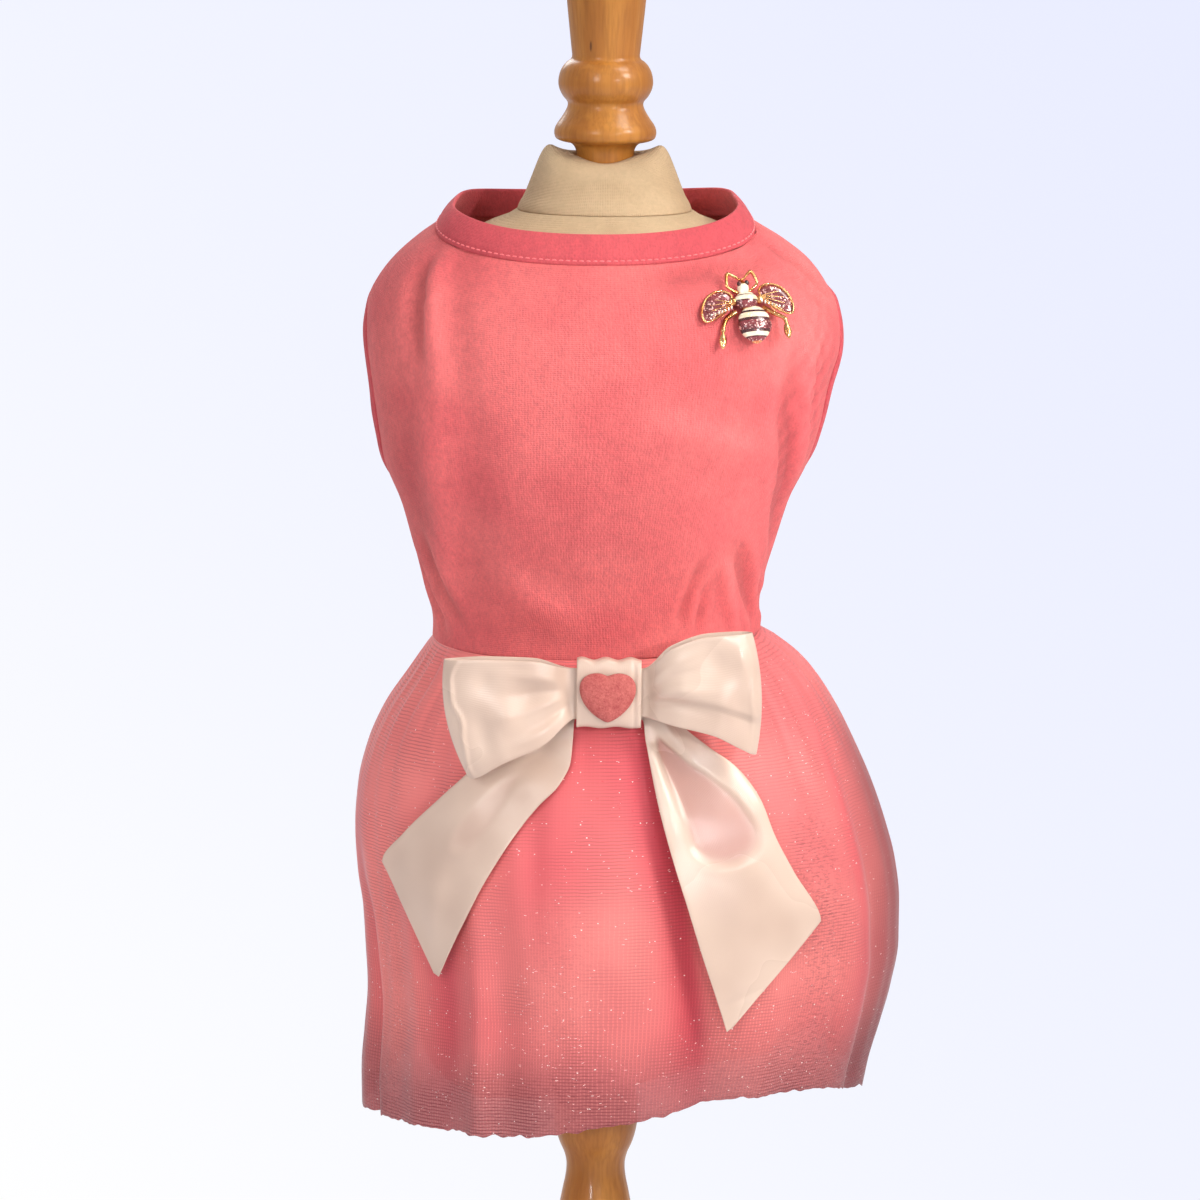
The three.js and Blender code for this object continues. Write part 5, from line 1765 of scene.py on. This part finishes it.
def addBeePiece(name, parts, materials, replaced=()):
    # parts are (points, faces, material number), in the brooch's own flat place
    points, faces, kinds = [], [], []
    for partPoints, partFaces, kind in parts:
        faces += [[index + len(points) for index in face] for face in partFaces]
        kinds += kind if isinstance(kind, list) else [kind] * len(partFaces)
        points += [(beePlace @ Vector(p)) * mm for p in partPoints]
    return addPiece(name, points, faces, materials, replaced, None, kinds)


def blob(centre, size, bands, rings=28, segments=32, point=0.0, ridge=0.0):
    # an egg along y, with a pointed tail, and bands of (end, material number) from tail to head
    ringPoints, kinds = [], []
    for j in range(rings + 1):
        share = clamp(j / rings, 0.006, 0.994)
        along = -math.cos(math.pi * share)
        girth = math.sin(math.pi * share)
        if along < 0:
            girth *= 1 - point * (-along) ** 2
        step = 1 - ridge if any(abs(share - end) < 0.6 / rings for end, _ in bands[:-1]) else 1
        ringPoints.append([
            Vector((
                centre[0] + size[0] / 2 * girth * step * math.sin(2 * math.pi * i / segments),
                centre[1] + size[1] / 2 * along,
                centre[2] + size[2] / 2 * girth * step * math.cos(2 * math.pi * i / segments),
            ))
            for i in range(segments)
        ])
    points, faces, _ = ringSolid(ringPoints)
    for j in range(rings):
        kind = next(kind for end, kind in bands if (j + 0.5) / rings <= end)
        kinds += [kind] * segments
    kinds += [bands[0][1]] * segments + [bands[-1][1]] * segments
    return points, [face[::-1] for face in faces], kinds


def tube(path, radii, steps=24, sides=10, kind=0):
    # a round wire through points, with a girth at each of them
    rows = [(k, *point, radius) for k, (point, radius) in enumerate(zip(path, radii))]
    curves = [curveOf(rows, column) for column in range(1, 5)]
    places = [(len(path) - 1) * k / steps for k in range(steps + 1)]
    middles = [Vector([curve(place) for curve in curves[:3]]) for place in places]
    rings = []
    for k, middle in enumerate(middles):
        ahead = (middles[min(k + 1, steps)] - middles[max(k - 1, 0)]).normalized()
        side = ahead.cross(Vector((0, 0, 1))).normalized()
        up = side.cross(ahead)
        radius = curves[3](places[k])
        rings.append([middle + (side * math.cos(t) + up * math.sin(t)) * radius
                      for t in (2 * math.pi * i / sides for i in range(sides))])
    points, faces, _ = ringSolid(rings)
    return points, faces, kind


def wingOutline(side, size, count=72):
    # a half-moon wing: a full round outer edge and a flatter lower edge
    outline = []
    for k in range(count):
        turn = 2 * math.pi * k / count
        x, y = math.cos(turn), math.sin(turn)
        y = y * (0.95 if y > 0 else 0.55) + 0.1 * (1 - x * x)
        outline.append(Vector((side * x * size[0] / 2, y * size[1] / 2 - 0.12 * x * size[1], 0)))
    return outline


wing = {
    "rimAt": 0.97, "rimLift": 0.25, "rimOut": 0.42, "rimUp": 0.6, "rimSides": 8, "veins": 5, "fanFrom": -24,
    "fanTo": 46, "veinRadii": [0.24, 0.2, 0.12], "drops": 7, "firstDrop": 1.4, "dropStep": 1.25,
}
# scale and height of each ring of the domed plate
wingPlate = [(0.93, -0.75), (0.95, -0.4), (0.94, 0.1), (0.86, 0.42), (0.62, 0.62), (0.3, 0.72), (0.05, 0.74)]


def makeWing(name, side, centre, size, tilt):
    # a domed plate, a gold rim, veins from its root and a row of drops
    turn = Matrix.Rotation(math.radians(tilt), 4, "Z")
    outline = [turn @ p for p in wingOutline(side, size)]
    middle = Vector(centre)

    def ringAt(scale, height):
        return [middle + p * scale + Vector((0, 0, height)) for p in outline]

    points, faces, _ = ringSolid([ringAt(scale, height) for scale, height in wingPlate])
    parts = [(points, faces, 0)]
    rim = [p + Vector((0, 0, wing["rimLift"])) for p in ringAt(wing["rimAt"], 0)]
    ringPoints, count, sides = [], len(rim), wing["rimSides"]
    for k, p in enumerate(rim):
        out = (p - middle).normalized()
        for i in range(sides):
            t = 2 * math.pi * i / sides
            lift = Vector((0, 0, math.sin(t) * wing["rimUp"]))
            ringPoints.append(p + out * math.cos(t) * wing["rimOut"] + lift)
    rimFaces = []
    for k in range(count):
        for i in range(sides):
            a, b = (k + 1) % count, (i + 1) % sides
            rimFaces.append([k * sides + i, k * sides + b, a * sides + b, a * sides + i])
    parts.append((ringPoints, rimFaces, 1))
    root = middle + turn @ Vector((-side * size[0] * 0.42, -0.1 * size[1], 0))
    for k in range(wing["veins"]):  # from the wing's root
        share = k / (wing["veins"] - 1)
        fan = math.radians(lerp(wing["fanFrom"], wing["fanTo"], share))
        reach = size[0] * lerp(0.6, 0.74, math.sin(math.pi * k / (wing["veins"] - 1)))
        tip = root + turn @ Vector((side * math.cos(fan) * reach, math.sin(fan) * reach * 0.8, 0))
        points = ((root, 0.62), (root.lerp(tip, 0.5), 0.82), (tip, 0.4))
        path = [p + Vector((0, 0, height)) for p, height in points]
        parts.append(tube(path, wing["veinRadii"], steps=10, sides=6, kind=1))
    for k in range(wing["drops"]):  # a row along the lower edge, near the body
        aside = side * (wing["firstDrop"] + wing["dropStep"] * k)
        place = root + turn @ Vector((aside, -1.0 + 0.08 * k * k * 0.4, 0.62))
        points, faces, _ = blob(place, (0.85, 1.7 - 0.12 * k, 0.9), [(1, 2)], rings=8, segments=10)
        parts.append((points, faces, 2))
    return addBeePiece(name, parts, [maroonEnamel, gold, crystal], (name,))


abdomenBands = [
    (0.16, 4), (0.24, 1), (0.27, 3), (0.36, 2), (0.39, 3), (0.56, 1), (0.6, 3), (0.7, 2), (0.74, 3), (0.9, 2),
    (0.95, 3), (1, 0),
]
thoraxBands = [(0.18, 0), (0.44, 1), (0.5, 3), (0.66, 2), (0.72, 3), (1, 2)]
beeMaterials = [gold, maroonEnamel, creamEnamel, darkEnamel, amberEnamel]
feelerRadii = [0.5, 0.52, 0.6, 0.4]
bodyParts = [
    blob((1.2, -6.2, 2.8), (11.6, 13.4, 5.8), abdomenBands, rings=40, segments=40, point=0.34, ridge=0.035),
    blob((-0.7, 2.4, 2.8), (8.2, 6.4, 5.2), thoraxBands, rings=24, segments=32, ridge=0.035),
    blob((-1.2, 6.8, 2.8), (4.0, 5.4, 3.4), [(0.66, 2), (1, 0)], rings=18, segments=24, point=0.3),
    blob((-5.2, 2.4, 2.6), (3.4, 3.0, 2.6), [(1, 0)], rings=12, segments=18),
    blob((3.9, 2.7, 2.6), (3.6, 2.8, 2.6), [(1, 0)], rings=12, segments=18),
    blob((-2.5, 8.3, 3.6), (1.6, 2.0, 1.6), [(1, 3)], rings=12, segments=16),
    blob((0.1, 8.5, 3.6), (1.6, 2.0, 1.6), [(1, 3)], rings=12, segments=16),
    tube([(-3.0, 5.4, 2.6), (-6.8, 8.0, 3.1), (-6.1, 12.2, 3.2), (-2.8, 10.4, 3.2)], feelerRadii),
    tube([(0.6, 5.8, 2.6), (3.8, 8.6, 3.1), (2.0, 12.6, 3.2), (-0.4, 10.4, 3.2)], feelerRadii),
    tube([(-2.9, 10.3, 3.2), (-1.6, 9.7, 3.5), (-0.4, 10.4, 3.2)], [0.4, 0.5, 0.4]),
]
for k in range(7):  # small drops in the dark band of the thorax
    place = (-3.4 + 0.95 * k, 1.9, 4.6 - 0.12 * (k - 3) ** 2)
    bodyParts.append(blob(place, (0.7, 0.9, 0.7), [(1, 5)], rings=8, segments=10))
addBeePiece("bee_body", bodyParts, beeMaterials + [crystal], ("bee_body",))
makeWing("bee_wing_left", -1, (-10.8, 0.1, 2.8), (13.4, 10.4), 27)
makeWing("bee_wing_right", 1, (9.4, 1.8, 2.8), (13.8, 10.0), -29)


legRadii = [0.95, 0.8, 0.7, 0.6]


def makeLeg(name, path, leafPlace, leafTilt):
    parts = [tube(path, legRadii, steps=36, sides=12)]
    parts += [blob(place, (1.9, 1.5, 1.7), [(1, 0)], rings=10, segments=14) for place in path[1:-1]]
    points, faces, kinds = blob((0, 0, 0), (2.6, 5.6, 1.5), [(1, 0)], rings=16, segments=18, point=0.35)
    turn = Matrix.Translation(Vector(leafPlace)) @ Matrix.Rotation(math.radians(leafTilt), 4, "Z")
    parts.append(([turn @ p for p in points], faces, kinds))
    return addBeePiece(name, parts, [gold], (name,))


leftPath = [(-4.3, -0.9, 1.3), (-8, -3.4, 1.3), (-9.6, -7.2, 1.5), (-10, -9.6, 1.8)]
rightPath = [(5, 0.4, 1.3), (8.6, -1.9, 1.3), (12.2, -4.2, 1.4), (12.6, -7, 1.8)]
makeLeg("bee_leg_left", leftPath, (-10.2, -11.2, 1.8), -8)
makeLeg("bee_leg_right", rightPath, (12.5, -8.6, 1.8), 4)
print("brooch pinned")

# Dress form: a smooth torso and neck in cloth, with their seams.
form = {
    "segments": 180, "seamDepth": 0.5, "seamHalfAngle": 1.6, "lipRadius": 19.8, "lipWidth": 4.0, "lips": 4.2,
    "frontDip": 2.6, "dipFrom": 486, "dipTo": 495, "torsoFlat": (0.36, 0.26), "neckFlat": (0.18, 0.03),
}
torsoSections = [
    (222.6, 48, 34, 34), (226, 58, 43, 43), (232, 63.5, 47.5, 47), (242, 66, 49.5, 48.5),
    (262, 64.5, 48.5, 47), (285, 59, 45.5, 42.5), (308, 52.5, 42.5, 38), (328, 50.5, 42, 37),
    (348, 52.5, 45.8, 41.5), (368, 57.5, 52.6, 48), (390, 62.5, 57, 54), (412, 67, 58.4, 56),
    (432, 69.5, 57.6, 55.5), (445, 68, 54.4, 53), (453, 64.5, 50.4, 50.4), (460, 58.5, 44.8, 46),
    (466.5, 50, 39.2, 40.5), (472, 39, 32.4, 33.5), (476.2, 30, 28, 28),
]
neckSections = [
    (476.28, 29.8, 27.8, 27.8), (478.2, 29.2, 27, 27.2), (481, 27.6, 24.9, 25.2), (486, 25.4, 22.3, 22.9),
    (489.6, 23.6, 20.3, 21.1), (492.2, 21.8, 18.4, 19.4), (494, 19.4, 16.2, 17.2), (495.1, 16.4, 14.2, 14.8),
    (495.5, 13.6, 12.2, 12.6),
]
# radius, height, dip at the front
neckWell = [(11.3, 495.4, 2.6), (10.5, 494.6, 2.4), (10.2, 493.2, 1.6), (10.1, 488.6, 0.0)]


def formBody(name, sections, rows, flat, seams, lips=0.0, well=()):
    # seams are angles; lips raise the sides of the neck's upper edge, and its front dips
    curves = [curveOf(sections, column) for column in (1, 2, 3)]
    low, high = sections[0][0], sections[-1][0]
    turns = [2 * math.pi * i / form["segments"] for i in range(form["segments"])]
    rings = []
    for j in range(rows + 1):
        z = lerp(low, high, j / rows)
        half, front, back = (curve(z) for curve in curves)
        ring = []
        for turn in turns:
            angle, ahead = math.degrees(turn), math.cos(turn)
            groove = sum(bell((angle - seam + 180) % 360 - 180, form["seamHalfAngle"]) for seam in seams)
            out = -form["seamDepth"] * groove
            depth = front if ahead > 0 else back
            rise = 0
            if lips:
                lip = bell(half - form["lipRadius"], form["lipWidth"])
                dip = smoothstep(z, form["dipFrom"], form["dipTo"])
                rise = lips * lip * abs(math.sin(turn)) ** 5 - form["frontDip"] * dip * max(0, ahead) ** 3
            x, y = (half + out) * across(angle), -(depth + out) * forward(angle)
            ring.append(Vector((x, y, z + rise)) * mm)
        rings.append(ring)
    for radius, z, dip in well:
        rings.append([
            Vector((radius * math.sin(t), -radius * math.cos(t), z - dip * max(0, math.cos(t)) ** 3)) * mm
            for t in turns
        ])
    points, faces, faceUvs = ringSolid(rings, flat)
    piece = addPiece(name, points, faces, formCloth, (name,), faceUvs)
    return piece


formBody("form_torso", torsoSections, 130, form["torsoFlat"], [0, 90, 180, -90])
formBody("form_neck", neckSections, 40, form["neckFlat"], [], lips=form["lips"], well=neckWell)
print("dress form covered")

# Stand: turned and varnished wood. A point given twice keeps a crisp edge.
finialProfile = [
    (0, 489), (9.7, 489), (9.7, 489), (9.7, 498.8), (16.6, 499.8), (17.6, 502), (17.2, 504.6), (15, 507.6),
    (13, 511), (12.8, 513), (14.6, 514.8), (16, 517.6), (16.3, 520.2), (15.6, 523.6), (13.8, 526.4),
    (11.4, 527.8), (11.8, 531), (13.8, 550), (14.4, 560), (13.2, 568), (9.6, 574.4), (4.6, 577.6), (0, 578),
]
postProfile = [
    (0, 22.3), (20, 22.3), (20, 26), (14, 31), (11.6, 42), (12, 62), (14.4, 96), (15, 108), (14, 119),
    (12, 131), (10, 140), (10.4, 145.5), (13.4, 151.5), (15, 160.5), (14.2, 167.5), (11.4, 172), (9.4, 177),
    (9, 184), (9, 222.3), (0, 222.3),
]
baseProfile = [(0, 0), (78, 0), (78, 0), (82, 3), (82, 13), (77, 18.5), (32, 22), (0, 22)]
turnedPiece("finial", finialProfile)
turnedPiece("post", postProfile)
turnedPiece("base", baseProfile, 144, baseWood)
print("stand turned")
